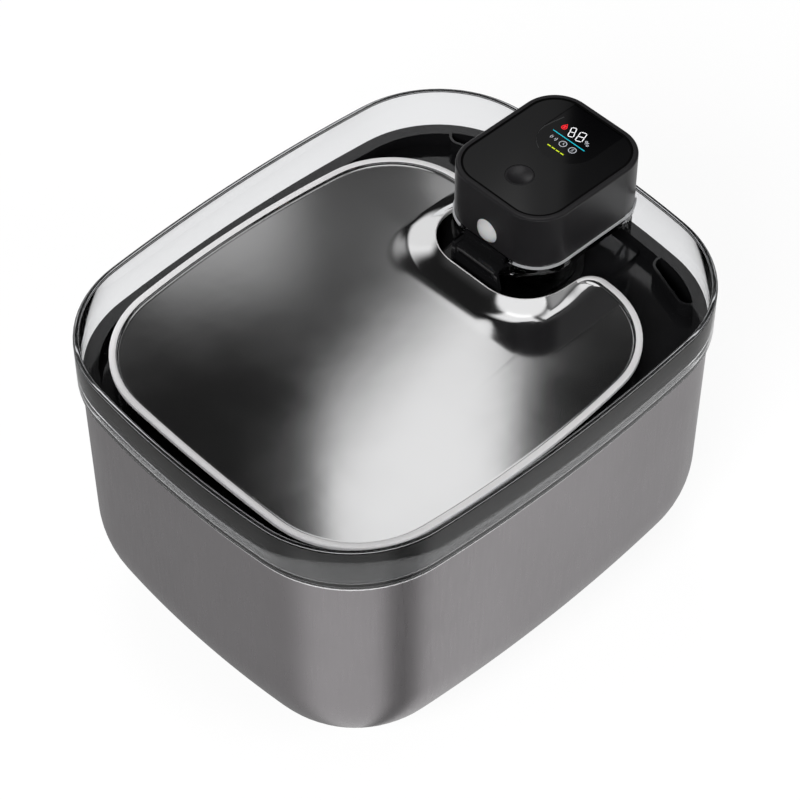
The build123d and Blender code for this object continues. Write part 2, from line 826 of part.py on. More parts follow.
def impeller():
    """Open impeller with backswept vanes on a stem that carries the rotor magnet."""
    body = disc(impeller_radius, vane_high_z, vane_high_z + 1.4, neck_x)
    body += disc(stem_radius, vane_low_z, rotor_high_z, neck_x)
    body += disc(stem_radius + 1.4, vane_high_z + 1, rotor_low_z, neck_x)
    sweep = impeller_radius * 0.95
    outer_arc = Circle(sweep + vane_thickness / 2) - Circle(sweep - vane_thickness / 2)
    blade = Pos(0, sweep) * outer_arc
    blade = blade & (Circle(impeller_radius) - Circle(stem_radius - 0.3))
    quarter = Rectangle(2 * impeller_radius, 2 * impeller_radius)
    blade = blade & (Pos(impeller_radius, impeller_radius) * quarter)
    for number in range(impeller_vanes):
        turned = Pos(neck_x, 0, vane_low_z) * Rot(0, 0, number * 360 / impeller_vanes) * blade
        body += extrude(turned, vane_height + 0.2)
    return body - disc(shaft_radius + shaft_fit, vane_low_z - 1, rotor_high_z + 1, neck_x)


def rotor_magnet():
    """Ring magnet on the impeller's stem."""
    return tube(rotor_radius, stem_radius, rotor_low_z, rotor_high_z)


def inlet_strainer():
    """Slotted cup over the pump's inlet."""
    body = disc(column_radius, strainer_z, volute_z, neck_x)
    body -= disc(column_radius - column_wall, strainer_z + column_wall, volute_z + 1, neck_x)
    middle_z = (strainer_z + volute_z) / 2
    slot_height = strainer_height - 2 * strainer_border
    slot = Pos(column_radius, 0, middle_z) * Box(3 * column_wall, strainer_slot, slot_height)
    for number in range(strainer_slots):
        body -= Pos(neck_x, 0, 0) * Rot(0, 0, number * 360 / strainer_slots) * slot
    return body


def inlet_sponge():
    """Sponge ring inside the strainer."""
    low = strainer_z + column_wall
    return tube(column_radius - column_wall - 0.2, eye_radius + 4, low, volute_z - 0.2)


# ---------------------------------------------------------------- head
web_z = head_top_z - panel_depth - panel_web
panel_z = head_top_z - panel_depth
button_x = head_front_x + button_setback
lens_z = shell_z + lens_height
board_z = web_z - board_drop
port_z = board_z - socket_half_height
port_hinge_z = port_z - port_height / 2 + 0.4
screw_places = [(head_x + sx * screw_row / 2, sy * screw_spread / 2) for sx in (1, -1) for sy in (1, -1)]


def upright_disc(radius, low_x, high_x, z):
    """A cylinder along X on the centre plane."""
    middle = Pos((low_x + high_x) / 2, 0, z) * Rot(0, 90, 0)
    return middle * Cylinder(radius, high_x - low_x)


def window_face(inset):
    """The display window: the panel's rear end behind a round front edge."""
    reach = head_length
    start_x = head_rear_x - window_inset - window_round + inset
    half_width = window_half_width - inset
    stadium = RectangleRounded(reach, 2 * half_width, half_width - 0.01)
    return Pos(start_x + reach / 2, 0) * stadium


def head_shell():
    """Moulded head shell with a rolled top edge, panel recess, screw bosses and openings."""
    shell = extrude(Pos(0, 0, shell_z) * head_face(0), head_shell_height)
    tops = shell.edges().filter_by_position(Axis.Z, head_top_z - 0.01, head_top_z + 0.01)
    shell = fillet(tops, head_edge_radius)
    shell -= extrude(Pos(0, 0, shell_z - 1) * head_face(head_wall), web_z - shell_z + 1)
    shell -= extrude(Pos(0, 0, panel_z) * head_face(panel_inset), panel_depth + 1)
    for x, y in screw_places:
        shell += disc(screw_boss, shell_z + spigot_height + 0.2, web_z + 0.1, x, y)
        shell -= disc(screw_radius, shell_z + spigot_height, shell_z + screw_length, x, y)
    shell -= disc(button_radius + button_fit, web_z - 1, panel_z + 1, button_x)
    module_half = module_half_width + module_fit
    module_low = (head_rear_x - module_front_gap - module_fit, -module_half, web_z - 1)
    shell -= block(module_low, (head_rear_x - module_rear_gap + module_fit, module_half, panel_z + 1))
    shell -= upright_disc(lens_radius, head_front_x - 1, head_front_x + head_wall + 1, lens_z)
    hole_y = socket_half_width + port_hole_gap
    hole_z = socket_half_height + port_hole_gap
    hole_low = (head_rear_x - head_wall - 1, -hole_y, port_z - hole_z)
    shell -= block(hole_low, (head_rear_x + 1, hole_y, port_z + hole_z))
    bead = Pos(head_rear_x + port_fit + port_cover / 2, 0, port_hinge_z) * Rot(90, 0, 0)
    shell -= bead * Cylinder(port_bead + port_fit, 2 * port_half_width + 0.6)
    return shell


def top_panel():
    """Satin panel let into the head, with the button's hole and the window cut out."""
    face = head_face(panel_inset + panel_groove) - window_face(-0.1)
    face -= Pos(button_x, 0) * Circle(button_radius + button_fit)
    return extrude(Pos(0, 0, panel_z) * face, panel_thickness)


def display_window():
    """Gloss window over the display."""
    face = window_face(0) & head_face(panel_inset + panel_groove)
    return extrude(Pos(0, 0, panel_z) * face, panel_thickness - 0.25)


def display_module():
    """Light-guide block of the display on the main board."""
    low = (head_rear_x - module_front_gap, -module_half_width, board_z + board_thickness)
    return block(low, (head_rear_x - module_rear_gap, module_half_width, panel_z - module_gap))


def main_board():
    """Main circuit board under the panel."""
    low = (head_front_x + head_wall + board_front_gap, -board_half_width, board_z)
    high_x = head_rear_x - head_wall - board_rear_gap
    return block(low, (high_x, board_half_width, board_z + board_thickness))


def button_switch():
    """Tact switch under the button."""
    low = (button_x - 3, -3, board_z + board_thickness)
    base = block(low, (button_x + 3, 3, board_z + board_thickness + 1.0))
    return base + disc(1.7, board_z + board_thickness + 0.9, board_z + board_thickness + 1.5, button_x)


def power_button():
    """Dished round button with a retaining flange under the web."""
    flange_top = web_z - 0.1
    cap = disc(button_radius, flange_top - 0.6, panel_z + panel_thickness - 0.1, button_x)
    cap += disc(button_radius + 1.2, flange_top - 0.6, flange_top, button_x)
    top_z = panel_z + panel_thickness - 0.1
    dish_edge = button_radius - 0.7
    dish = (dish_edge**2 + button_dish**2) / (2 * button_dish)
    return cap - Pos(button_x, 0, top_z - button_dish + dish) * Sphere(dish)


def motion_lens():
    """White domed lens in the head's front."""
    dome = (lens_radius**2 + lens_bulge**2) / (2 * lens_bulge)
    ball = Pos(head_front_x - lens_bulge + dome, 0, lens_z) * Sphere(dome)
    reach = 2 * lens_radius
    front = block((head_front_x - reach, -reach, lens_z - reach), (head_front_x, reach, lens_z + reach))
    plug = upright_disc(lens_radius - 0.05, head_front_x, head_front_x + head_wall, lens_z)
    return (ball & front) + plug


def motion_sensor():
    """Round sensor can behind the lens."""
    low_x = head_front_x + head_wall
    return upright_disc(sensor_radius, low_x, low_x + sensor_depth, lens_z)


cell_low_z = seat_z + base_floor + holder_floor
cell_x = head_x - cell_length / 2


def battery_cells():
    """Two round cells side by side."""
    cells = []
    for side in (1, -1):
        tip_x = cell_x + cell_length - cell_tip
        body = upright_disc(cell_radius, cell_x, tip_x, cell_low_z + cell_radius)
        tip = upright_disc(3.0, tip_x, tip_x + cell_tip, cell_low_z + cell_radius)
        cells.append(Pos(0, side * cell_spacing / 2, 0) * (body + tip))
    return Compound(cells)


def battery_holder():
    """Open trough that holds the cells on the head's base."""
    half_x = cell_length / 2 - holder_short
    half_y = cell_spacing / 2 + cell_radius + holder_wall
    outline = Pos(head_x, 0) * RectangleRounded(2 * half_x, 2 * half_y, holder_corner)
    low = seat_z + base_floor
    trough = extrude(Pos(0, 0, low) * outline, holder_floor + cell_radius * 0.7)
    axis_z = cell_low_z + cell_radius
    for side in (1, -1):
        bed = upright_disc(cell_radius + 0.1, head_x - half_x - 1, head_x + half_x + 1, axis_z)
        trough -= Pos(0, side * cell_spacing / 2, 0) * bed
    between_low = (head_x - half_x - 1, -cell_spacing / 2, cell_low_z + 3)
    trough -= block(between_low, (head_x + half_x + 1, cell_spacing / 2, cell_low_z + cell_radius))
    return trough


def head_base():
    """Bottom cover: a plug that seats in the cradle, a spigot in the shell and the transmitter's recess."""
    plug_rear_x = body_length / 2 - cradle_rear_gap - cradle_wall - plug_fit
    keep = block((0, -head_width, seat_z - 1), (plug_rear_x, head_width, shell_z + 1))
    room = block((0, -head_width, seat_z), (plug_rear_x - spigot_wall, head_width, shell_z + 1))
    hollow_face = head_face(spigot_inset + spigot_wall + 0.6)
    body = extrude(Pos(0, 0, seat_z) * head_face(plug_inset), head_plug) & keep
    body += extrude(Pos(0, 0, shell_z) * head_face(spigot_inset), spigot_height)
    body -= extrude(Pos(0, 0, seat_z + base_floor) * hollow_face, head_plug) & room
    body -= extrude(Pos(0, 0, shell_z + base_shelf) * hollow_face, spigot_height)
    for x, y in screw_places:
        body += disc(screw_boss, seat_z, shell_z + spigot_height, x, y)
        body -= disc(screw_radius + 0.2, seat_z - 1, shell_z + spigot_height + 1, x, y)
        body -= disc(screw_head + 0.2, seat_z - 1, seat_z + 2.0, x, y)
    body -= coil(seat_z + 1.0, seat_z + 2.3)
    groove_low = shell_z + 0.7
    groove = head_face(spigot_inset - 0.5) - head_face(spigot_inset + 0.6)
    return body - extrude(Pos(0, 0, groove_low) * groove, 0.9)


def head_seal():
    """Seal cord in the spigot's groove."""
    face = head_face(head_wall) - head_face(spigot_inset + 0.6)
    return extrude(Pos(0, 0, shell_z + 0.7) * face, 0.9)


def base_screws():
    """Four screws that hold the base to the shell's bosses."""
    screws = []
    for x, y in screw_places:
        head = disc(screw_head, seat_z + 0.4, seat_z + 2.0, x, y)
        head -= extrude(Pos(x, y, seat_z) * RegularPolygon(1.1, 6), 1.2)
        screws.append(head + disc(screw_radius, seat_z + 1.9, shell_z + screw_length - 1, x, y))
    return Compound(screws)


def charge_socket():
    """Charging socket on the underside of the main board."""
    y = socket_half_width
    z = socket_half_height
    low_x = head_rear_x - socket_reach
    outer = block((low_x, -y, port_z - z), (head_rear_x - socket_setback, y, port_z + z))
    y -= socket_skin
    z -= socket_skin
    return outer - block((low_x + socket_back, -y, port_z - z), (head_rear_x, y, port_z + z))


def port_flap():
    """Rubber cover of the charging socket, on a bead hinge along its lower edge."""
    low = (head_rear_x + port_fit, -port_half_width, port_hinge_z)
    high = (head_rear_x + port_fit + port_cover, port_half_width, port_z + port_height / 2)
    flap = block(low, high)
    bead = Pos(head_rear_x + port_fit + port_cover / 2, 0, port_hinge_z) * Rot(90, 0, 0)
    flap += bead * Cylinder(port_bead, 2 * port_half_width)
    half = socket_half_width - 0.9
    flap += block((head_rear_x - 0.7, -half, port_z - 0.9), (head_rear_x + 0.2, half, port_z + 0.7))
    return flap


# ---------------------------------------------------------------- write the nodes
save(tank_shell(), "tank_shell")
save(tank_feet(), "tank_feet")
save(collar(), "collar")
save(rim_seal(), "rim_seal")
save(deck(), "deck")
save(tray_pads(), "tray_pads")
save(filter_basket(), "filter_basket")
save(filter_frame(), "filter_frame")
save(filter_lid(), "filter_lid")
foam_z = media_z + cotton_height + carbon_height
lid_under_z = cartridge_z + filter_height - grid_thickness
save(media(media_z, media_z + cotton_height), "cotton_pad")
save(media(media_z + cotton_height, foam_z), "carbon_bed")
save(media(foam_z, lid_under_z), "filter_foam")
save(drinking_tray(), "drinking_tray")
save(neck_tube(), "neck_tube")
save(neck_seal(), "neck_seal")
save(cradle(), "cradle")
save(spout(), "spout")
save(riser_tube(), "riser_tube")
save(receiver_cup(), "receiver_cup")
save(coil(plate_z - 0.3 - coil_thickness, plate_z - 0.3), "receiver_coil")
save(receiver_board(), "receiver_board")
save(pump_housing(), "pump_housing")
save(stator_core(), "stator_core")
save(stator_winding(), "stator_winding")
save(volute_cover(), "volute_cover")
save(impeller_shaft(), "impeller_shaft")
save(top_bush(), "top_bush")
save(impeller(), "impeller")
save(rotor_magnet(), "rotor_magnet")
save(inlet_strainer(), "inlet_strainer")
save(inlet_sponge(), "inlet_sponge")
save(head_shell(), "head_shell")
save(top_panel(), "top_panel")
save(display_window(), "display_window")
save(display_module(), "display_module")
save(main_board(), "main_board")
save(button_switch(), "button_switch")
save(power_button(), "power_button")
save(motion_lens(), "motion_lens")
save(motion_sensor(), "motion_sensor")
save(battery_cells(), "battery_cells")
save(battery_holder(), "battery_holder")
save(head_base(), "head_base")
save(head_seal(), "head_seal")
save(base_screws(), "base_screws")
save(coil(seat_z + 1.0, seat_z + 2.1), "transmitter_coil")
save(charge_socket(), "charge_socket")
save(port_flap(), "port_flap")
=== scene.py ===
import json
import math

import bmesh
import bpy
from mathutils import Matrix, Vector


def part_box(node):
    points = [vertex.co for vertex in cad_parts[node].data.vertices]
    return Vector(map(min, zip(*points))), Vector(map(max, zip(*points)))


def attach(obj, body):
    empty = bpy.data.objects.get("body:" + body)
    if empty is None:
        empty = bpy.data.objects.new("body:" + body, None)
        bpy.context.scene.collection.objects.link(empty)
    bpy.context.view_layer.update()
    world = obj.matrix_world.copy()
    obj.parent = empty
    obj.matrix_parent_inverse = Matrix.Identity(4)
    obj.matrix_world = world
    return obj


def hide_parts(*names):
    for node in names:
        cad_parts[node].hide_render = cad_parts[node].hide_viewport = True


# Looks of the pet water fountain. Lengths are written in millimetres and scaled by MM.
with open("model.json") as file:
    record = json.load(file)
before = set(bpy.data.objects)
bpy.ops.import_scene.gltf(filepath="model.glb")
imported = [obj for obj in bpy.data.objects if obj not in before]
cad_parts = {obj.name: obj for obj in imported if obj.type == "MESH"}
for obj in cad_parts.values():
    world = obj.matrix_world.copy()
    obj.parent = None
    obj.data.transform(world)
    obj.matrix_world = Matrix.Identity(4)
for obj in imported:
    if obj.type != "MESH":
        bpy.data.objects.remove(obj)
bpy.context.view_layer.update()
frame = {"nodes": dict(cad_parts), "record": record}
nodes = frame["nodes"]
MM = 0.001
X, Z = 0, 2  # places in a corner


def corners_of(node):
    """The lowest and the highest corner of a CAD node, each as x, y and z in millimetres."""
    return [[length / MM for length in corner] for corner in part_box(node)]


# ---------------------------------------------------------------- sizes shared with the solids
BODY_LENGTH, BODY_WIDTH, BODY_CORNER = 260.0, 213.4, 57.0
LONG_RADIUS, SHORT_RADIUS, LEAST_CORNER = 825.0, 496.0, 10.0
FOOT_HEIGHT, TANK_HEIGHT, TANK_WALL = 1.5, 136.1, 1.0
RIM_INSET, BEAD_HEIGHT, BEAD_PROUD = 1.4, 1.7, 0.5
TANK_DRAFT, BOTTOM_RADIUS = 0.7, 54.0
SEAL_THICKNESS, SEAL_FIT, SEAL_LEG = 1.2, 0.3, 0.6
COLLAR_HEIGHT, COLLAR_WALL = 23.1, 2.6
SKIRT_WALL, SKIRT_DEPTH = 2.0, 13.0
STEP_THICKNESS, STEP_WIDTH = 1.6, 4.2
TRAY_FRONT_GAP, TRAY_SIDE_GAP, TRAY_REAR_GAP = 14.9, 11.6, 43.1
TRAY_LONG_RADIUS, TRAY_SHORT_RADIUS = 499.0, 1028.0
TRAY_GAUGE, TRAY_FLANGE, TRAY_HEM, NOTCH_FLANGE = 0.8, 3.0, 2.2, 1.5
TRAY_DEPTH, WALL_RUN, HUMP_FRONT_RUN = 1.8, 1.2, 19.9
NOTCH_CORNER, FOOT_CORNER = 23.0, 21.0
NOTCH_GAP, NOTCH_SIDE_GAP = 3.6, 3.7
NECK_RADIUS, HEAD_WIDTH, HEAD_LENGTH, HEAD_CORNER = 27.5, 62.0, 73.9, 18.0
PANEL_INSET = 2.4

head_low = corners_of("head_shell")[0]
seal_low, seal_high = corners_of("neck_seal")
RIM_Z = FOOT_HEIGHT + TANK_HEIGHT
COLLAR_BASE_Z = RIM_Z + SEAL_THICKNESS
COLLAR_TOP_Z = COLLAR_BASE_Z + COLLAR_HEIGHT
STEP_Z = COLLAR_BASE_Z + STEP_THICKNESS
TRAY_RIM_Z = corners_of("drinking_tray")[1][Z]
TRAY_LENGTH = BODY_LENGTH - TRAY_FRONT_GAP - TRAY_REAR_GAP
TRAY_WIDTH = BODY_WIDTH - 2 * TRAY_SIDE_GAP
TRAY_X = (TRAY_FRONT_GAP - TRAY_REAR_GAP) / 2
PANEL_TOP_Z = corners_of("top_panel")[1][Z]
WINDOW_TOP_Z = corners_of("display_window")[1][Z]
CRADLE_REAR_X = corners_of("cradle")[1][X]
NECK_X = (seal_low[X] + seal_high[X]) / 2
NOTCH_FRONT_X = NECK_X - NECK_RADIUS - NOTCH_GAP
NOTCH_HALF = HEAD_WIDTH / 2 + NOTCH_SIDE_GAP
LOBE_WIDTH = TRAY_WIDTH / 2 - NOTCH_HALF
TRAY_CORNER, REAR_CORNER = 0.262 * TRAY_WIDTH, 0.74 * LOBE_WIDTH
LOBE_CORNER, HUMP_SIDE_RUN = 0.157 * LOBE_WIDTH, 0.125 * LOBE_WIDTH
LOBE_FLOOR_CORNER = 0.15 * LOBE_CORNER

# ---------------------------------------------------------------- sizes of the scene's own forms
COLLAR_EDGE = 0.9  # radius of the collar's moulded edges
CROWN = 0.4  # how far the tray's flange falls to each side of its crest
LIP_RISE, LIP_RUN, LIP_POWER = 1.7, 13.0, 1.4  # the hump's last climb to the notch, above the tray's rim
LIP_FADE = (56.0, 80.0)  # where along the notch's sides that climb ends
UNDERSIDE_GAP = 0.1  # along the notch, the underside starts this far past the hem
FLAT_MARGIN = 0.8  # a flat floor starts this far inside its round edge
# a matt black strip in the panel's groove: painted shade
GROOVE_SHADE_WIDTH, GROOVE_SHADE_SUNK, GROOVE_SHADE_PROUD = 1.1, 0.1, 0.06
EDGE_WIDTH, EDGE_HEIGHT, EDGE_GAP, EDGE_END_GAP = 0.8, 1.5, 0.5, 2.0  # the cradle's lips, pale strips painted as a highlight
SPOUT_HALF = 15.0  # half the gap that those lips leave for the spout
MARK_LOW_Z, MARK_TOP_Z = WINDOW_TOP_Z - 0.03, WINDOW_TOP_Z + 0.04
DIGIT_LINE, DIGIT_GAP = 0.42, 0.1  # a segment's width, and the share of it left open at each end
CLOCK, BOLT, WAVES, SIGN_RADIUS, SIGN_LINE = (102.0, 0.8), (102.0, -5.0), (102.0, 6.4), 1.75, 0.35
DASHES, DASH_X, DASH_START_Y, DASH_PITCH, DASH_LENGTH = 4, 97.0, 5.4, 2.6, 1.9

# ---------------------------------------------------------------- how finely curves are cut
SHARP_ANGLE = math.radians(32)
SHORT_STEPS, CORNER_STEPS, LONG_STEPS = 10, 16, 12
LOBE_STEPS, REAR_STEPS, NOTCH_STEPS = 12, 5, (6, 18, 6)
TUB_STEPS, BEAD_STEPS, FLANGE_STEPS, HUMP_STEPS = 20, 12, 8, 26
UNDERSIDE_SHARES = (0.1, 0.4, 0.6, 0.8, 0.9, 0.96, 1)
SLACK = 0.01  # for comparing levels
PAINTED_HIGHLIGHT_BAND = 1  # material number of the pale bands on the tank's rim and the tray's flange, a painted highlight


# ---------------------------------------------------------------- outlines
def crossing(centre_a, radius_a, centre_b, radius_b):
    """The upper right point where two circles cross."""
    dx, dy = centre_b[0] - centre_a[0], centre_b[1] - centre_a[1]
    apart = math.hypot(dx, dy)
    along = (radius_a**2 - radius_b**2 + apart**2) / (2 * apart)
    across = math.sqrt(radius_a**2 - along**2)
    foot_x, foot_y = centre_a[0] + along * dx / apart, centre_a[1] + along * dy / apart
    ends = [(foot_x - s * across * dy / apart, foot_y + s * across * dx / apart) for s in (1, -1)]
    return max(ends, key=sum)


def arc(centre, radius, start, stop, count):
    """Points along an arc, both ends included."""
    turns = [start + (stop - start) * i / count for i in range(count + 1)]
    return [(centre[0] + radius * math.cos(a), centre[1] + radius * math.sin(a)) for a in turns]


def join(*runs):
    """Runs of points one after another, without the doubled point at each joint."""
    path = list(runs[0])
    for run in runs[1:]:
        path += run[1:]
    return path


def heading(centre, point):
    return math.atan2(point[1] - centre[1], point[0] - centre[0])


def bowed_quarter(length, width, long_radius, short_radius, inset, corner):
    """The first quarter of a bowed rectangle with rounded corners, from the +X side to the +Y side."""
    half_x, half_y = length / 2 - inset, width / 2 - inset
    long_arc, short_arc = long_radius - inset, short_radius - inset
    long_centre, short_centre = (0, half_y - long_arc), (half_x - short_arc, 0)
    middle = crossing(long_centre, long_arc - corner, short_centre, short_arc - corner)
    short_turn, long_turn = heading(short_centre, middle), heading(long_centre, middle)
    return (
        arc(short_centre, short_arc, 0, short_turn, SHORT_STEPS),
        arc(middle, corner, short_turn, long_turn, CORNER_STEPS),
        arc(long_centre, long_arc, long_turn, math.pi / 2, LONG_STEPS),
    )


def mirrored(path):
    """A half outline with y >= 0 and its mirror image as one closed loop."""
    return path + [(x, -y) for x, y in reversed(path[1:-1])]


def body_ring(inset, z):
    """The fountain's plan outline at one level."""
    corner = max(BODY_CORNER - inset, LEAST_CORNER)
    quarter = join(*bowed_quarter(BODY_LENGTH, BODY_WIDTH, LONG_RADIUS, SHORT_RADIUS, inset, corner))
    half = quarter + [(-x, y) for x, y in reversed(quarter[:-1])]
    return [(x, y, z) for x, y in mirrored(half)]


def tray_ring(inset, front_run, side_run, corner, lobe, z):
    """The drinking tray's notched outline at one level."""
    sizes = (TRAY_LENGTH, TRAY_WIDTH, TRAY_LONG_RADIUS, TRAY_SHORT_RADIUS, inset)
    front = join(*bowed_quarter(*sizes, TRAY_CORNER - inset))
    front = [(TRAY_X - x, y) for x, y in reversed(front)]
    _, rear_arc, rear_long = bowed_quarter(*sizes, REAR_CORNER - inset)
    rear = [(TRAY_X + x, y) for x, y in join(rear_arc, rear_long)]
    half_width = NOTCH_HALF + side_run
    start_x = NOTCH_FRONT_X - front_run
    bow = TRAY_SHORT_RADIUS - inset
    bow_centre = (TRAY_X + TRAY_LENGTH / 2 - inset - bow, 0)
    lobe_y = half_width + lobe
    lobe_x = bow_centre[0] + math.sqrt((bow - lobe) ** 2 - lobe_y**2)
    lobe_turn = heading(bow_centre, (lobe_x, lobe_y))
    corner_turn = heading(bow_centre, rear[0])
    flat, bend, side = NOTCH_STEPS
    bend_x, bend_y = start_x + corner, half_width - corner
    half = join(
        [(start_x, bend_y * i / flat) for i in range(flat + 1)],
        arc((bend_x, bend_y), corner, math.pi, math.pi / 2, bend),
        [(bend_x + (lobe_x - bend_x) * i / side, half_width) for i in range(side + 1)],
        arc((lobe_x, lobe_y), lobe, -math.pi / 2, lobe_turn, LOBE_STEPS),
        arc(bow_centre, bow, lobe_turn, corner_turn, REAR_STEPS),
        rear,
        front,
    )
    return [(x, y, z) for x, y in mirrored(half)]


# ---------------------------------------------------------------- mesh helpers
def finish_mesh(name, build, body, replaced=()):
    """Turns a bmesh in millimetres into a smooth-shaded object that rides on a body."""
    bmesh.ops.recalc_face_normals(build, faces=build.faces)
    bmesh.ops.scale(build, vec=(MM, MM, MM), verts=build.verts)
    for face in build.faces:
        face.smooth = True
    for edge in build.edges:
        edge.smooth = edge.calc_face_angle(0) < SHARP_ANGLE
    mesh = bpy.data.meshes.new(name)
    build.to_mesh(mesh)
    build.free()
    piece = bpy.data.objects.new(name, mesh)
    bpy.context.scene.collection.objects.link(piece)
    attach(piece, body)
    if replaced:
        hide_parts(*replaced)
    return piece


def skin(rings, closed):
    """A bmesh skin over rings of equal length, closed into a ring solid or capped at both ends."""
    build = bmesh.new()
    rows = [[build.verts.new(point) for point in ring] for ring in rings]
    pairs = list(zip(rows, rows[1:]))
    if closed:
        pairs.append((rows[-1], rows[0]))
    for low, high in pairs:
        for i in range(len(low)):
            j = (i + 1) % len(low)
            build.faces.new((low[i], low[j], high[j], high[i]))
    if not closed:
        build.faces.new(rows[0])
        build.faces.new(rows[-1])
    return build


def rounded(profile, radius, steps=4):
    """A closed profile of (inset, z) with every corner rounded."""
    points = []
    count = len(profile)
    for i in range(count):
        before, here, after = (Vector(profile[(i + k) % count]) for k in (-1, 0, 1))
        reach = min(radius, (before - here).length * 0.45, (after - here).length * 0.45)
        start = here + (before - here).normalized() * reach
        stop = here + (after - here).normalized() * reach
        for k in range(steps + 1):
            share = k / steps
            points.append(start * (1 - share) ** 2 + here * 2 * share * (1 - share) + stop * share**2)
    return [(p.x, p.y) for p in points]


# ---------------------------------------------------------------- replaced solids
def tub_rings(offset, steps):
    """The tank's drawn form between its floor and its rim, moved in by offset."""
    floor_z, radius = FOOT_HEIGHT + offset, BOTTOM_RADIUS - offset
    inset = RIM_INSET + BEAD_PROUD + TANK_DRAFT + offset
    rings = []
    for step in range(steps + 1):
        turn = step / steps * math.pi / 2
        z = floor_z + radius * (1 - math.cos(turn))
        rings.append(body_ring(inset + radius * (1 - math.sin(turn)), z))
    for share in (0.25, 0.5, 0.75):
        z = floor_z + radius + (RIM_Z - BEAD_HEIGHT - floor_z - radius) * share
        rings.append(body_ring(inset - TANK_DRAFT * share, z))
    return rings


def make_tank():
    """Deep drawn tub with a rolled bead round its rim."""
    bead = BEAD_HEIGHT / 2
    middle_inset, middle_z = RIM_INSET + bead, RIM_Z - bead
    start = -math.acos((middle_inset - RIM_INSET - BEAD_PROUD) / bead)
    stop = math.pi - math.acos((RIM_INSET + BEAD_PROUD + TANK_WALL - middle_inset) / bead)
    rim = []
    for step in range(BEAD_STEPS + 1):
        turn = start + (stop - start) * step / BEAD_STEPS
        rim.append(body_ring(middle_inset - bead * math.cos(turn), middle_z + bead * math.sin(turn)))
    flat_inset = RIM_INSET + BEAD_PROUD + TANK_DRAFT + BOTTOM_RADIUS + FLAT_MARGIN
    under, floor = body_ring(flat_inset, FOOT_HEIGHT), body_ring(flat_inset, FOOT_HEIGHT + TANK_WALL)
    outside = [under] + tub_rings(0, TUB_STEPS)
    rings = outside + rim + tub_rings(TANK_WALL, TUB_STEPS)[::-1] + [floor]
    piece = finish_mesh("tank_drawn", skin(rings, False), "tank", ("tank_shell",))
    around = len(under)
    first, last = len(outside) * around, (len(outside) + len(rim) - 1) * around
    # the rolled rim's faces take the pale band: painted highlight
    for face in piece.data.polygons[first:last]:
        face.material_index = PAINTED_HIGHLIGHT_BAND
    return piece


def make_collar():
    """Clear collar with soft moulded edges."""
    skirt = RIM_INSET + BEAD_PROUD + TANK_WALL + SEAL_FIT + SEAL_LEG
    step_inset = COLLAR_WALL + STEP_WIDTH
    low = COLLAR_BASE_Z - SKIRT_DEPTH
    profile = [
        (0, COLLAR_BASE_Z),
        (0, COLLAR_TOP_Z),
        (COLLAR_WALL, COLLAR_TOP_Z),
        (COLLAR_WALL, STEP_Z),
        (step_inset, STEP_Z),
        (step_inset, COLLAR_BASE_Z),
        (skirt + SKIRT_WALL, COLLAR_BASE_Z),
        (skirt + SKIRT_WALL, low),
        (skirt, low),
        (skirt, COLLAR_BASE_Z),
    ]
    rings = [body_ring(inset, z) for inset, z in rounded(profile, COLLAR_EDGE)]
    return finish_mesh("collar_clear", skin(rings, True), "collar", ("collar",))


def hump_ring(inset, climb, start, grow, z):
    """A tray outline whose notch side has climbed this share of the hump, grown a little past its foot."""
    lobe = (LOBE_CORNER - TRAY_FLANGE / 2) * (1 - climb) + LOBE_FLOOR_CORNER * climb - grow / 2
    corner = (NOTCH_CORNER + NOTCH_FLANGE) * (1 - climb) + FOOT_CORNER * climb
    front_run = start + (NOTCH_FLANGE + HUMP_FRONT_RUN - start) * climb + grow
    side_run = start + (NOTCH_FLANGE + HUMP_SIDE_RUN - start) * climb + grow
    return tray_ring(inset, front_run, side_run, corner, lobe, z)


def dish_rings(start, shares, lift=0.0):
    """The tray's inner surface from its crest down to its floor, or its underside where lift is below 0."""
    rings = []
    for share in shares:
        depth = TRAY_DEPTH * share
        if depth < CROWN:
            inset = TRAY_FLANGE / 2 * (1 + math.sqrt(1 - (1 - depth / CROWN) ** 2))
        else:
            fall = min((depth - CROWN) / (TRAY_DEPTH - CROWN), 1)
            inset = TRAY_FLANGE + WALL_RUN * (1 - math.sqrt(1 - fall**2))
        climb = 1 - math.sqrt(1 - share)
        rings.append(hump_ring(inset + lift, climb, start, 0, TRAY_RIM_Z - depth + lift))
    inset = TRAY_FLANGE + WALL_RUN + FLAT_MARGIN
    rings.append(hump_ring(inset + lift, 1, start, FLAT_MARGIN, TRAY_RIM_Z - TRAY_DEPTH + lift))
    return rings


def lip_rise(x, y):
    """How far the hump stands above the rim, by the distance from the notch's rounded outline."""
    ahead = max(NOTCH_FRONT_X + NOTCH_CORNER - x, 0)
    aside = max(abs(y) - (NOTCH_HALF - NOTCH_CORNER), 0)
    apart = math.hypot(ahead, aside) - NOTCH_CORNER
    near = min(max(1 - apart / LIP_RUN, 0), 1)
    start, stop = LIP_FADE
    fade = min(max((stop - x) / (stop - start), 0), 1)
    return LIP_RISE * near**LIP_POWER * fade * fade * (3 - 2 * fade)


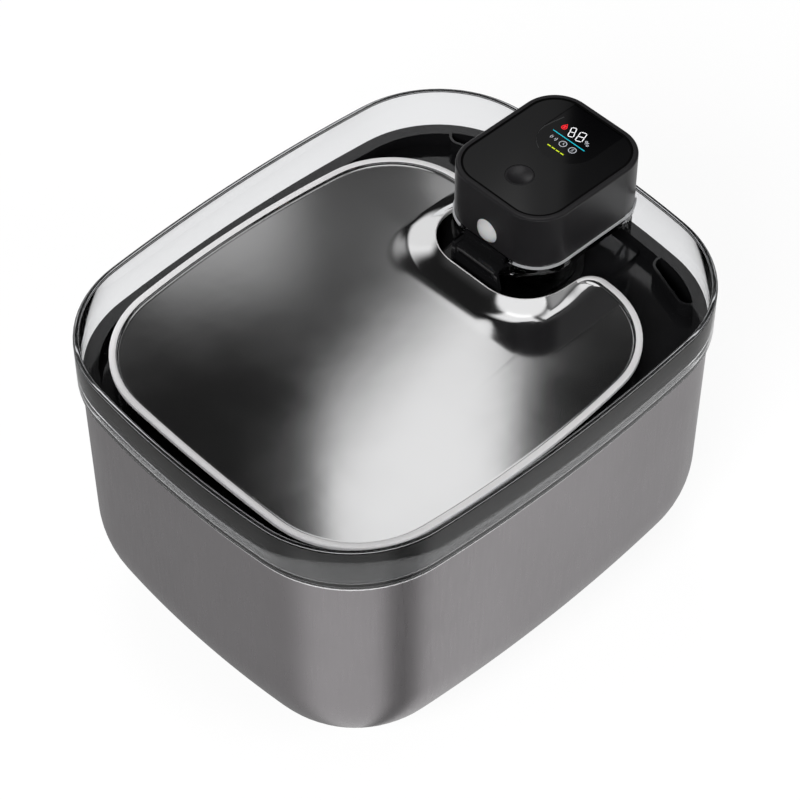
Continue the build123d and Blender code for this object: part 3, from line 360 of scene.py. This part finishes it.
def make_tray():
    """Pressed steel tray: crowned rim with a hem, shallow dish and the hump that rises to the notch."""
    turns = [math.pi / 2 * step / FLANGE_STEPS for step in range(FLANGE_STEPS + 1)]
    crown = [CROWN * (1 - math.cos(turn)) / TRAY_DEPTH for turn in turns]
    wall = [(CROWN + (TRAY_DEPTH - CROWN) * math.sin(turn)) / TRAY_DEPTH for turn in turns[1:]]
    hump = [1 - (1 - step / HUMP_STEPS) ** 2 for step in range(1, HUMP_STEPS)]
    inner = dish_rings(NOTCH_FLANGE / 2, sorted(crown + wall + hump))
    outer = []
    for turn in reversed(turns):
        reach = 1 - math.cos(turn)
        z = TRAY_RIM_Z - CROWN * (1 - math.sin(turn))
        inset, run = TRAY_FLANGE / 2 * reach, NOTCH_FLANGE / 2 * reach
        outer.append(tray_ring(inset, run, run, NOTCH_CORNER + run, LOBE_CORNER - inset, z))
    hem = []
    for inset, drop in ((0, TRAY_HEM), (TRAY_GAUGE, TRAY_HEM), (TRAY_GAUGE, TRAY_GAUGE)):
        z = TRAY_RIM_Z - drop
        hem.append(tray_ring(inset, inset, inset, NOTCH_CORNER + inset, LOBE_CORNER - inset, z))
    under = dish_rings(TRAY_GAUGE + UNDERSIDE_GAP, UNDERSIDE_SHARES, -TRAY_GAUGE)
    level = inner[::-1] + outer[1:] + hem + under
    rings = [[(x, y, z + lip_rise(x, y)) for x, y, z in ring] for ring in level]
    piece = finish_mesh("tray_pressed", skin(rings, False), "tray", ("drinking_tray",))
    count = len(rings[0])
    # the flange's faces take the pale band, a painted highlight, except on the notch's inner slope
    first_band = sum(1 for ring in inner if ring[0][2] < TRAY_RIM_Z - CROWN - SLACK)
    crest, last_band = len(inner) - 1, len(inner) + len(outer) - 1
    for row in range(first_band, last_band):
        for i in range(count):
            on_notch = min(i, count - 1 - i) < sum(NOTCH_STEPS)
            if row >= crest or not on_notch:
                piece.data.polygons[row * count + i].material_index = PAINTED_HIGHLIGHT_BAND
    return piece


def solid_strip(build, left, right, closed, low_z, top_z):
    """A thin raised strip between two rows of plan points."""
    rows = []
    for side, z in ((left, low_z), (left, top_z), (right, top_z), (right, low_z)):
        rows.append([build.verts.new((x, y, z)) for x, y in side])
    count = len(left)
    for i in range(count if closed else count - 1):
        j = (i + 1) % count
        for a, b in zip(rows, rows[1:] + rows[:1]):
            build.faces.new((a[i], a[j], b[j], b[i]))
    if not closed:
        for end in (0, -1):
            build.faces.new([row[end] for row in rows])


def line_mark(build, path, width, closed=False, low_z=MARK_LOW_Z, top_z=MARK_TOP_Z):
    """A line of even width along plan points."""
    count = len(path)
    left, right = [], []
    for i, point in enumerate(path):
        before = path[i - 1] if closed or i else point
        after = path[(i + 1) % count] if closed or i < count - 1 else point
        along = (Vector(after) - Vector(before)).normalized()
        aside = Vector((-along.y, along.x)) * width / 2
        left.append(tuple(Vector(point) + aside))
        right.append(tuple(Vector(point) - aside))
    solid_strip(build, left, right, closed, low_z, top_z)


def ring_mark(build, centre, radius, width):
    line_mark(build, arc(centre, radius, 0, 2 * math.pi, 28)[:-1], width, True)


def digit_mark(build, corners):
    """A slanted figure eight from its four corners, upper left first and clockwise."""
    upper_left, upper_right, lower_right, lower_left = (Vector(c) for c in corners)
    middle_left, middle_right = (upper_left + lower_left) / 2, (upper_right + lower_right) / 2
    outline = (upper_left, upper_right, middle_right, lower_right, lower_left, middle_left)
    for a, b in zip(outline, outline[1:] + outline[:1]):
        gap = (b - a) * DIGIT_GAP
        line_mark(build, [tuple(a + gap), tuple(b - gap)], DIGIT_LINE)
    line_mark(build, [tuple(middle_left), tuple(middle_right)], DIGIT_LINE)


def charge_digits(build):
    """The charge reading: two figures."""
    digit_mark(build, [(112.6, 5.4), (113.7, 3.4), (108.3, 0.6), (107.2, 3.0)])
    digit_mark(build, [(113.4, 0.6), (114.4, -2.3), (108.8, -4.1), (107.5, -1.2)])


def small_signs(build):
    """The percent sign, the clock, the bolt and the waves."""
    line_mark(build, [(110.6, -7.0), (108.9, -5.9)], SIGN_LINE)
    ring_mark(build, (110.4, -5.6), 0.5, 0.3)
    ring_mark(build, (108.9, -7.5), 0.5, 0.3)
    ring_mark(build, CLOCK, SIGN_RADIUS, SIGN_LINE)
    x, y = CLOCK
    line_mark(build, [(x + 1.1, y), CLOCK, (x - 0.3, y - 0.8)], 0.3)
    ring_mark(build, BOLT, SIGN_RADIUS, SIGN_LINE)
    x, y = BOLT
    line_mark(build, [(x + 1.0, y - 0.3), (x, y + 0.4), (x, y - 0.4), (x - 1.0, y + 0.3)], 0.3)
    for radius in (0.9, 1.7):
        for side in (0, math.pi):
            line_mark(build, arc(WAVES, radius, side + 0.9, side + math.pi - 0.9, 6), 0.3)


def water_drop(build):
    """A drop: the low-water sign."""
    tip, centre, radius = (112.6, 8.2), (110.2, 7.9), 1.2
    round_end = arc(centre, radius, math.radians(55), math.radians(305), 14)
    line_mark(build, [tip] + round_end, 0.45, True)
    line_mark(build, [(111.4, 8.0), (109.6, 7.9)], 1.0)


def water_line(build):
    line_mark(build, [(105.5, 10.2), (105.5, -9.0)], 0.4)


def level_dashes(build):
    for step in range(DASHES):
        y = DASH_START_Y - step * DASH_PITCH
        line_mark(build, [(DASH_X, y), (DASH_X, y - DASH_LENGTH)], 0.55)


def window_ridge(build):
    """The raised ridge along the window's left edge; its grey, lighter than the panel, is a painted
    highlight.
    """
    straight = [(115.0, 12.6), (109.3, 13.8), (104.6, 14.6)]
    bend = [(100.5, 14.2), (97.4, 12.9), (95.1, 10.9), (93.4, 8.6), (92.5, 6.4)]
    line_mark(build, straight + bend, 0.6)


def head_corners(inset):
    """The head's plan outline from the middle of its front, round the -Y side to its rear end."""
    radius = HEAD_CORNER - inset
    front_x, rear_x = head_low[X] + HEAD_CORNER, head_low[X] + HEAD_LENGTH - HEAD_CORNER
    side_y = HEAD_CORNER - HEAD_WIDTH / 2
    front = arc((front_x, side_y), radius, -math.pi, -math.pi / 2, CORNER_STEPS)
    rear = arc((rear_x, side_y), radius, -math.pi / 2, 0, CORNER_STEPS)
    return front + rear


def make_groove_shade():
    """A matt black strip in the groove round the top panel: painted shade for the groove's dark line."""
    build = bmesh.new()
    half = head_corners(PANEL_INSET + GROOVE_SHADE_WIDTH / 2)
    path = half + [(x, -y) for x, y in reversed(half)]
    line_mark(build, path, GROOVE_SHADE_WIDTH, True, PANEL_TOP_Z - GROOVE_SHADE_SUNK, PANEL_TOP_Z + GROOVE_SHADE_PROUD)
    return finish_mesh("panel_groove_shade", build, "head")


def make_cradle_highlight_lips():
    """A pale lip along each side of the clear cradle, just under the head: a painted highlight on its edge.
    """
    lips = []
    rear_x = CRADLE_REAR_X - EDGE_END_GAP
    route = [(x, y) for x, y in head_corners(-EDGE_WIDTH / 2) if x < rear_x and abs(y) > SPOUT_HALF]
    for side, name in ((1, "cradle_highlight_lip_right"), (-1, "cradle_highlight_lip_left")):
        build = bmesh.new()
        path = [(x, y * side) for x, y in route]
        line_mark(build, path, EDGE_WIDTH, False, head_low[Z] - EDGE_HEIGHT, head_low[Z] - EDGE_GAP)
        lips.append(finish_mesh(name, build, "pump"))
    return lips


tank = make_tank()
collar = make_collar()
tray = make_tray()
groove_shade = make_groove_shade()
cradle_highlight_lips = make_cradle_highlight_lips()


# ---------------------------------------------------------------- materials
class Surface:
    """A node material with a Principled shader and object coordinates in metres."""

    def __init__(self, name, base, roughness, metallic=0.0, **sockets):
        self.material = bpy.data.materials.new(name)
        self.material.use_nodes = True
        self.tree = self.material.node_tree
        self.shader = self.tree.nodes["Principled BSDF"]
        self.shader.inputs["Base Color"].default_value = (*base, 1)
        self.shader.inputs["Roughness"].default_value = roughness
        self.shader.inputs["Metallic"].default_value = metallic
        for socket, value in sockets.items():
            self.shader.inputs[socket.replace("_", " ")].default_value = value
        self.coordinates = self.tree.nodes.new("ShaderNodeTexCoord").outputs["Object"]

    def link(self, output, target):
        self.tree.links.new(output, target)
        return self

    def stretched(self, scale):
        """Object coordinates scaled along each axis."""
        mapping = self.tree.nodes.new("ShaderNodeMapping")
        mapping.inputs["Scale"].default_value = scale
        self.link(self.coordinates, mapping.inputs["Vector"])
        return mapping.outputs["Vector"]

    def noise(self, scale, stretch=(1, 1, 1), detail=3.0):
        node = self.tree.nodes.new("ShaderNodeTexNoise")
        node.inputs["Scale"].default_value = scale
        node.inputs["Detail"].default_value = detail
        self.link(self.stretched(stretch), node.inputs["Vector"])
        return node.outputs["Fac"]

    def ramp(self, factor, low, high, start=0.0, stop=1.0):
        """A value that goes from low to high as factor goes from start to stop."""
        node = self.tree.nodes.new("ShaderNodeMapRange")
        node.interpolation_type = "SMOOTHSTEP"
        for socket, value in (("From Min", start), ("From Max", stop), ("To Min", low), ("To Max", high)):
            node.inputs[socket].default_value = value
        self.link(factor, node.inputs["Value"])
        return node.outputs["Result"]

    def tint(self, factor, dark, light):
        """Mixes the base colour between two shades."""
        node = self.tree.nodes.new("ShaderNodeMix")
        node.data_type = "RGBA"
        node.inputs["A"].default_value = (*dark, 1)
        node.inputs["B"].default_value = (*light, 1)
        self.link(factor, node.inputs["Factor"])
        return self.link(node.outputs["Result"], self.shader.inputs["Base Color"])

    def rough(self, factor, low, high):
        return self.link(self.ramp(factor, low, high, 0.3, 0.7), self.shader.inputs["Roughness"])

    def bump(self, factor, height_mm):
        node = self.tree.nodes.new("ShaderNodeBump")
        node.inputs["Distance"].default_value = height_mm * MM
        self.link(factor, node.inputs["Height"])
        return self.link(node.outputs["Normal"], self.shader.inputs["Normal"])


def satin_steel():
    """The tank's brushed steel."""
    steel = Surface("satin_steel", (0.36, 0.345, 0.355), 0.3, 1.0)
    grain = steel.noise(900, (1, 1, 0.06))
    soft = steel.noise(14)
    steel.tint(steel.ramp(soft, 0, 1, 0.3, 0.7), (0.35, 0.333, 0.343), (0.375, 0.357, 0.368))
    steel.rough(grain, 0.27, 0.33)
    return steel.bump(grain, 0.004).material


def mirror_steel():
    """The tray's polished steel."""
    steel = Surface("mirror_steel", (0.8, 0.8, 0.805), 0.07, 1.0)
    soft = steel.noise(22)
    steel.rough(soft, 0.06, 0.08)
    steel.tint(soft, (0.78, 0.78, 0.785), (0.82, 0.82, 0.825))
    return steel.bump(steel.noise(45, detail=2.0), 0.01).material


def flange_highlight_steel():
    """The tray's flange: a pale band, painted highlight for the flange's bright reflection."""
    steel = Surface("flange_highlight_steel", (0.82, 0.81, 0.815), 0.42, 0.4)
    steel.rough(steel.noise(60), 0.38, 0.46)
    steel.tint(steel.noise(40), (0.79, 0.78, 0.785), (0.85, 0.84, 0.845))
    return steel.bump(steel.noise(1400), 0.003).material


def bead_highlight_steel():
    """The tank's rolled rim: a pale band, painted highlight for the bead's bright reflection."""
    steel = Surface("bead_highlight_steel", (0.9, 0.89, 0.9), 0.3, 0.5)
    steel.rough(steel.noise(60), 0.26, 0.34)
    steel.tint(steel.noise(40), (0.87, 0.86, 0.87), (0.93, 0.92, 0.93))
    return steel.bump(steel.noise(1400), 0.002).material


SMOKE_COLOUR, SMOKE_DENSITY = (0.2, 0.21, 0.25), 17.0


def clear_smoke():
    """Clear plastic with a grey tint that deepens along its thick edges."""
    clear = Surface("clear_smoke", (0.95, 0.955, 0.965), 0.03, IOR=1.5, Transmission_Weight=1.0)
    clear.rough(clear.noise(35), 0.015, 0.05)
    body = clear.tree.nodes.new("ShaderNodeVolumeAbsorption")
    body.inputs["Color"].default_value = (*SMOKE_COLOUR, 1)
    body.inputs["Density"].default_value = SMOKE_DENSITY
    clear.link(body.outputs["Volume"], clear.tree.nodes["Material Output"].inputs["Volume"])
    return clear.bump(clear.noise(18, detail=1.0), 0.006).material


def painted_edge_highlight():
    """Pale grey for the cut edge of a clear plastic wall: a painted highlight."""
    edge = Surface("painted_edge_highlight", (0.5, 0.505, 0.52), 0.12, Transmission_Weight=0.3)
    edge.rough(edge.noise(50), 0.08, 0.16)
    edge.tint(edge.noise(90), (0.42, 0.425, 0.44), (0.58, 0.585, 0.6))
    return edge.bump(edge.noise(40), 0.01).material


def moulded(name, base, roughness, spread, grain_scale, grain_mm, **sockets):
    """Moulded plastic or rubber: a faint colour drift, uneven gloss and a fine grain."""
    surface = Surface(name, base, roughness, **sockets)
    soft = surface.noise(26)
    dark, light = (tuple(c * k for c in base) for k in (0.9, 1.1))
    surface.tint(soft, dark, light)
    surface.rough(soft, roughness - spread, roughness + spread)
    return surface.bump(surface.noise(grain_scale, detail=2.0), grain_mm).material


def metal(name, base, roughness):
    """Bare metal with a soft drift of shade and gloss."""
    surface = Surface(name, base, roughness, 1.0)
    soft = surface.noise(60)
    surface.tint(soft, tuple(c * 0.85 for c in base), base)
    surface.rough(soft, roughness - 0.05, roughness + 0.05)
    return surface.bump(surface.noise(700), 0.004).material


def winding():
    """Enamelled wire: fine turns round the coil."""
    surface = Surface("copper", (0.5, 0.2, 0.07), 0.35, 0.9)
    wave = surface.tree.nodes.new("ShaderNodeTexWave")
    wave.inputs["Scale"].default_value = 520
    wave.inputs["Distortion"].default_value = 0.6
    surface.link(surface.coordinates, wave.inputs["Vector"])
    surface.tint(wave.outputs["Fac"], (0.32, 0.11, 0.035), (0.62, 0.27, 0.1))
    return surface.bump(wave.outputs["Fac"], 0.12).material


def porous(name, dark, light, scale, depth_mm):
    """Cotton, carbon or foam: cells seen as bump and shade."""
    surface = Surface(name, light, 0.95)
    cells = surface.tree.nodes.new("ShaderNodeTexVoronoi")
    cells.inputs["Scale"].default_value = scale
    surface.link(surface.coordinates, cells.inputs["Vector"])
    surface.tint(surface.ramp(cells.outputs["Distance"], 0, 1, 0.05, 0.6), dark, light)
    return surface.bump(cells.outputs["Distance"], depth_mm).material


def circuit_board():
    """Printed board: square fields of two greens."""
    dark, light = (0.02, 0.12, 0.05), (0.04, 0.2, 0.09)
    surface = Surface("board_green", dark, 0.4)
    cells = surface.tree.nodes.new("ShaderNodeTexVoronoi")
    cells.distance = "MANHATTAN"
    cells.inputs["Scale"].default_value = 260
    surface.link(surface.coordinates, cells.inputs["Vector"])
    surface.tint(surface.ramp(cells.outputs["Distance"], 0, 1, 0.35, 0.4), dark, light)
    return surface.bump(cells.outputs["Distance"], 0.02).material


# moulded: name, base colour, roughness and its spread, grain scale, grain depth in millimetres
finishes = {
    "satin_steel": satin_steel(),
    "mirror_steel": mirror_steel(),
    "clear_smoke": clear_smoke(),
    "black_gloss": moulded("black_gloss", (0.006, 0.006, 0.0065), 0.1, 0.03, 40, 0.01),
    "black_satin": moulded("black_satin", (0.012, 0.0115, 0.0125), 0.36, 0.03, 1500, 0.012),
    "black_rubber": moulded("black_rubber", (0.006, 0.006, 0.006), 0.6, 0.05, 1100, 0.01),
    "panel_black": moulded("panel_black", (0.003, 0.003, 0.0033), 0.05, 0.01, 1600, 0.0),
    "window_black": moulded("window_black", (0.001, 0.001, 0.0013), 0.035, 0.01, 30, 0.003),
    "lens_white": moulded(
        "lens_white", (0.5, 0.5, 0.5), 0.35, 0.04, 900, 0.004, Subsurface_Weight=0.3, Subsurface_Scale=0.003
    ),
    "white_plastic": moulded("white_plastic", (0.7, 0.7, 0.7), 0.4, 0.05, 900, 0.006),
    "filter_cotton": porous("filter_cotton", (0.55, 0.55, 0.54), (0.85, 0.85, 0.83), 900, 0.4),
    "filter_carbon": porous("filter_carbon", (0.008, 0.008, 0.008), (0.05, 0.05, 0.05), 620, 0.5),
    "filter_foam": porous("filter_foam", (0.25, 0.26, 0.28), (0.62, 0.64, 0.67), 1100, 0.4),
    "ferrite": metal("ferrite", (0.08, 0.08, 0.085), 0.45),
    "copper": winding(),
    "board_green": circuit_board(),
    "cell_wrap": moulded("cell_wrap", (0.02, 0.1, 0.28), 0.3, 0.05, 300, 0.01),
    "screw_steel": metal("screw_steel", (0.55, 0.55, 0.56), 0.28),
    "ceramic": moulded("ceramic", (0.8, 0.78, 0.74), 0.15, 0.04, 500, 0.003),
}


def paint(piece, slot_name):
    """Gives a piece its finish. Clearing resets the faces' material numbers, so a new piece isn't cleared."""
    if piece.data.materials:
        piece.data.materials.clear()
    piece.data.materials.append(finishes[slot_name])


def lit_mark(name, colour, strength):
    """A display mark that gives off its own light."""
    dark, base, light = (tuple(c * share for c in colour) for share in (0.4, 0.5, 0.6))
    mark = Surface(name, base, 0.4, Emission_Color=(*colour, 1), Emission_Strength=strength)
    return mark.tint(mark.noise(700), dark, light).material


display_marks = {
    "charge_digits": (charge_digits, lit_mark("lit_white", (0.9, 0.9, 0.92), 0.75)),
    "small_signs": (small_signs, lit_mark("lit_grey", (0.5, 0.52, 0.56), 0.5)),
    "water_drop": (water_drop, lit_mark("lit_red", (0.9, 0.02, 0.03), 0.6)),
    "water_line": (water_line, lit_mark("lit_teal", (0.01, 0.5, 0.62), 0.7)),
    "level_dashes": (level_dashes, lit_mark("lit_green", (0.6, 0.75, 0.02), 0.7)),
    # the ridge's lighter grey is a painted highlight
    "window_ridge": (window_ridge, moulded("ridge_highlight_grey", (0.03, 0.03, 0.031), 0.3, 0.03, 900, 0.002)),
}
for mark_name, (draw, mark_finish) in display_marks.items():
    mark_mesh = bmesh.new()
    draw(mark_mesh)
    mark = finish_mesh(mark_name, mark_mesh, "head")
    mark.data.materials.append(mark_finish)

for part in frame["record"]["subparts"]:
    paint(nodes[part["node"]], part["material_slot"])
paint(tank, "satin_steel")
# the rim's pale band, a painted highlight
tank.data.materials.append(bead_highlight_steel())
paint(collar, "clear_smoke")
# matt black for the groove: painted shade
groove_shade_black = moulded("groove_shade_black", (0.001, 0.001, 0.001), 0.7, 0.05, 900, 0.002, Specular_IOR_Level=0.1)
groove_shade.data.materials.append(groove_shade_black)
# the lips' pale grey is a painted highlight
for lip in cradle_highlight_lips:
    lip.data.materials.append(painted_edge_highlight())
paint(tray, "mirror_steel")
# the flange's pale band, a painted highlight
tray.data.materials.append(flange_highlight_steel())


# ---------------------------------------------------------------- studio
FLOOR_HALF = 6000.0
FLOOR_SEEN, FLOOR_MATT = 0.885, 0.12  # its own white for the camera, and how much lamplight it returns
FLOOR_GLOW = 0.61  # how bright the floor stands in reflections
LEFT_CARD, CORNER_CARD, FAR_CARD = 0.36, 0.5, 0.2  # how much darker its left, corner and far right are
FAN_POINT = (-91.0, -68.0)  # inside the tank's front corner: the cards' edges fan out from here
STRIP_WHITE, ROOM_DARK = 0.95, 0.012
STRIP_SLOPE, STRIP_LOW = 0.75, (46.0, 46.6)  # its lower edge's slope, and the direction of a point on it
LAMP_SIZE, LAMP_TARGET = 1.2, Vector((0, 0, 0.1))
LAMPS = (  # name, place in metres, watts
    ("key", (-1.7, -0.7, 1.5), 55),
    ("side", (0.5, -2.0, 1.3), 22),
    ("top", (0.6, 1.2, 2.0), 14),
)
CAMERA_PLACE, CAMERA_TARGET = (-592.64, -620.65, 1060.43), (-9.18, -10.87, 115.17)
CAMERA_LENS, CAMERA_SENSOR = 128.67, 36


class Graph:
    """Shader nodes of the floor and of the world, joined by small sums."""

    def __init__(self, owner):
        owner.use_nodes = True
        self.tree = owner.node_tree
        self.tree.nodes.clear()

    def node(self, kind):
        return self.tree.nodes.new(kind)

    def link(self, output, target):
        self.tree.links.new(output, target)

    def math(self, operation, *values):
        node = self.node("ShaderNodeMath")
        node.operation = operation
        for socket, value in zip(node.inputs, values):
            if isinstance(value, (int, float)):
                socket.default_value = value
            else:
                self.link(value, socket)
        return node.outputs[0]

    def times(self, *values):
        total = values[0]
        for value in values[1:]:
            total = self.math("MULTIPLY", total, value)
        return total

    def add(self, *values):
        total = values[0]
        for value in values[1:]:
            total = self.math("ADD", total, value)
        return total

    def step(self, value, start, stop, low=0.0, high=1.0):
        node = self.node("ShaderNodeMapRange")
        node.interpolation_type = "SMOOTHSTEP"
        for socket, number in (("From Min", start), ("From Max", stop), ("To Min", low), ("To Max", high)):
            node.inputs[socket].default_value = number
        self.link(value, node.inputs["Value"])
        return node.outputs["Result"]

    def near(self, value, middle, inner, outer):
        """1 within inner of the middle, 0 beyond outer."""
        apart = self.math("ABSOLUTE", self.math("SUBTRACT", value, middle))
        return self.step(apart, inner, outer, 1, 0)

    def axes(self, vector):
        node = self.node("ShaderNodeSeparateXYZ")
        self.link(vector, node.inputs[0])
        return node.outputs

    def heading(self, y, x):
        return self.math("MULTIPLY", self.math("ARCTAN2", y, x), 180 / math.pi)

    def seen(self):
        """1 for what the camera sees, straight or through clear plastic."""
        path = self.node("ShaderNodeLightPath")
        return self.math("MAXIMUM", path.outputs["Is Camera Ray"], path.outputs["Is Transmission Ray"])


def floor_glow(graph):
    """How bright the floor stands in reflections, by the direction from the front corner."""
    place = graph.axes(graph.node("ShaderNodeTexCoord").outputs["Object"])
    across, along = (graph.math("SUBTRACT", FAN_POINT[i] * MM, place[i]) for i in (0, 1))
    turn = graph.heading(along, across)
    left_card = graph.times(graph.step(turn, -130, -90), graph.step(turn, -18, 14, 1, 0), LEFT_CARD)
    corner_card = graph.times(graph.near(turn, 92, 3, 27), CORNER_CARD)
    far_card = graph.step(turn, 130, 175, 0, FAR_CARD)
    return graph.math("SUBTRACT", FLOOR_GLOW, graph.add(left_card, corner_card, far_card))


def make_floor():
    """A plain pale floor: it glows for the camera and for reflections, and takes the object's shadow."""
    size = FLOOR_HALF * MM
    mesh = bpy.data.meshes.new("floor")
    corners = [(-size, -size, 0), (size, -size, 0), (size, size, 0), (-size, size, 0)]
    mesh.from_pydata(corners, [], [(0, 1, 2, 3)])
    floor = bpy.data.objects.new("floor", mesh)
    bpy.context.scene.collection.objects.link(floor)
    material = bpy.data.materials.new("floor_white")
    graph = Graph(material)
    glossy = graph.node("ShaderNodeLightPath").outputs["Is Glossy Ray"]
    glow = graph.node("ShaderNodeEmission")
    seen, mirrored_glow = graph.times(graph.seen(), FLOOR_SEEN), graph.times(glossy, floor_glow(graph))
    graph.link(graph.math("MAXIMUM", seen, mirrored_glow), glow.inputs["Strength"])
    matt = graph.node("ShaderNodeBsdfDiffuse")
    matt.inputs["Color"].default_value = (FLOOR_MATT, FLOOR_MATT, FLOOR_MATT, 1)
    total = graph.node("ShaderNodeAddShader")
    graph.link(glow.outputs[0], total.inputs[0])
    graph.link(matt.outputs[0], total.inputs[1])
    graph.link(total.outputs[0], graph.node("ShaderNodeOutputMaterial").inputs["Surface"])
    mesh.materials.append(material)


def make_sky():
    """The world: a studio drawn by direction, in degrees of azimuth and elevation."""
    world = bpy.data.worlds.new("studio")
    bpy.context.scene.world = world
    graph = Graph(world)
    axes = graph.axes(graph.node("ShaderNodeTexCoord").outputs["Generated"])
    azimuth = graph.heading(axes["Y"], axes["X"])
    elevation = graph.math("MULTIPLY", graph.math("ARCSINE", axes["Z"]), 180 / math.pi)

    sides = graph.times(graph.step(azimuth, 48.3, 48.9, 1, 0), graph.step(azimuth, 42.5, 43.1))
    edge_turn, edge_height = STRIP_LOW
    lower_edge = graph.math("MULTIPLY_ADD", azimuth, STRIP_SLOPE, edge_height - edge_turn * STRIP_SLOPE)
    over_edge = graph.math("SUBTRACT", elevation, lower_edge)
    ends = graph.times(graph.step(over_edge, -1.6, 2.0), graph.step(elevation, 52, 54, 1, 0))
    strip = graph.times(sides, ends, STRIP_WHITE)

    def patch(turn, half_turn, height, half_height, soft, strength):
        """A soft-edged bright field round one azimuth and elevation."""
        across = graph.near(azimuth, turn, half_turn - soft, half_turn + soft)
        up = graph.near(elevation, height, half_height - soft, half_height + soft)
        return graph.times(across, up, strength)

    lights = [
        strip,  # the light middle of the tray
        patch(42, 17, 67, 4.5, 3.0, 0.95),
        patch(70, 12, 30, 19, 3.5, 0.85),
        patch(5, 13, 60, 8, 3.0, 0.9),
        patch(51.5, 2.2, 44.3, 1.6, 1.0, 0.33),
        patch(43.6, 1.9, 43, 2.2, 0.04, 0.26),  # the head's top panel, with a sharp edge
        patch(-35, 22, 53, 16, 8, 0.3),
        patch(125, 30, 45, 25, 12, 0.08),
        graph.times(graph.step(elevation, 69, 72), 0.95),
        graph.times(graph.near(elevation, 44.6, 0.3, 2.4), 0.08),
        ROOM_DARK,
    ]
    white = graph.node("ShaderNodeBackground")
    studio = graph.node("ShaderNodeBackground")
    for background in (white, studio):
        background.inputs["Color"].default_value = (1, 1, 1, 1)
    graph.link(graph.add(*lights), studio.inputs["Strength"])
    mix = graph.node("ShaderNodeMixShader")
    graph.link(graph.seen(), mix.inputs[0])
    graph.link(studio.outputs[0], mix.inputs[1])
    graph.link(white.outputs[0], mix.inputs[2])
    graph.link(mix.outputs[0], graph.node("ShaderNodeOutputWorld").inputs["Surface"])


def make_lamp(name, place, power):
    """A soft round lamp aimed at the object, which shows in no reflection."""
    data = bpy.data.lights.new(name, "AREA")
    data.shape, data.size, data.energy = "DISK", LAMP_SIZE, power
    lamp = bpy.data.objects.new(name, data)
    bpy.context.scene.collection.objects.link(lamp)
    lamp.visible_glossy = lamp.visible_transmission = lamp.visible_camera = False
    lamp.location = place
    lamp.rotation_euler = (LAMP_TARGET - Vector(place)).to_track_quat("-Z", "Y").to_euler()


make_floor()
make_sky()
for lamp_name, lamp_place, watts in LAMPS:
    make_lamp(lamp_name, lamp_place, watts)


# ---------------------------------------------------------------- camera
def make_camera():
    """The photograph's view: a long lens from above the left front corner."""
    data = bpy.data.cameras.new("camera")
    data.sensor_width = CAMERA_SENSOR
    data.lens = CAMERA_LENS
    data.clip_start, data.clip_end = 0.05, 50
    camera = bpy.data.objects.new("camera", data)
    bpy.context.scene.collection.objects.link(camera)
    place, target = Vector(CAMERA_PLACE) * MM, Vector(CAMERA_TARGET) * MM
    camera.location = place
    camera.rotation_euler = (target - place).to_track_quat("-Z", "Y").to_euler()
    bpy.context.scene.camera = camera


make_camera()

bpy.context.scene.view_settings.view_transform = "Standard"
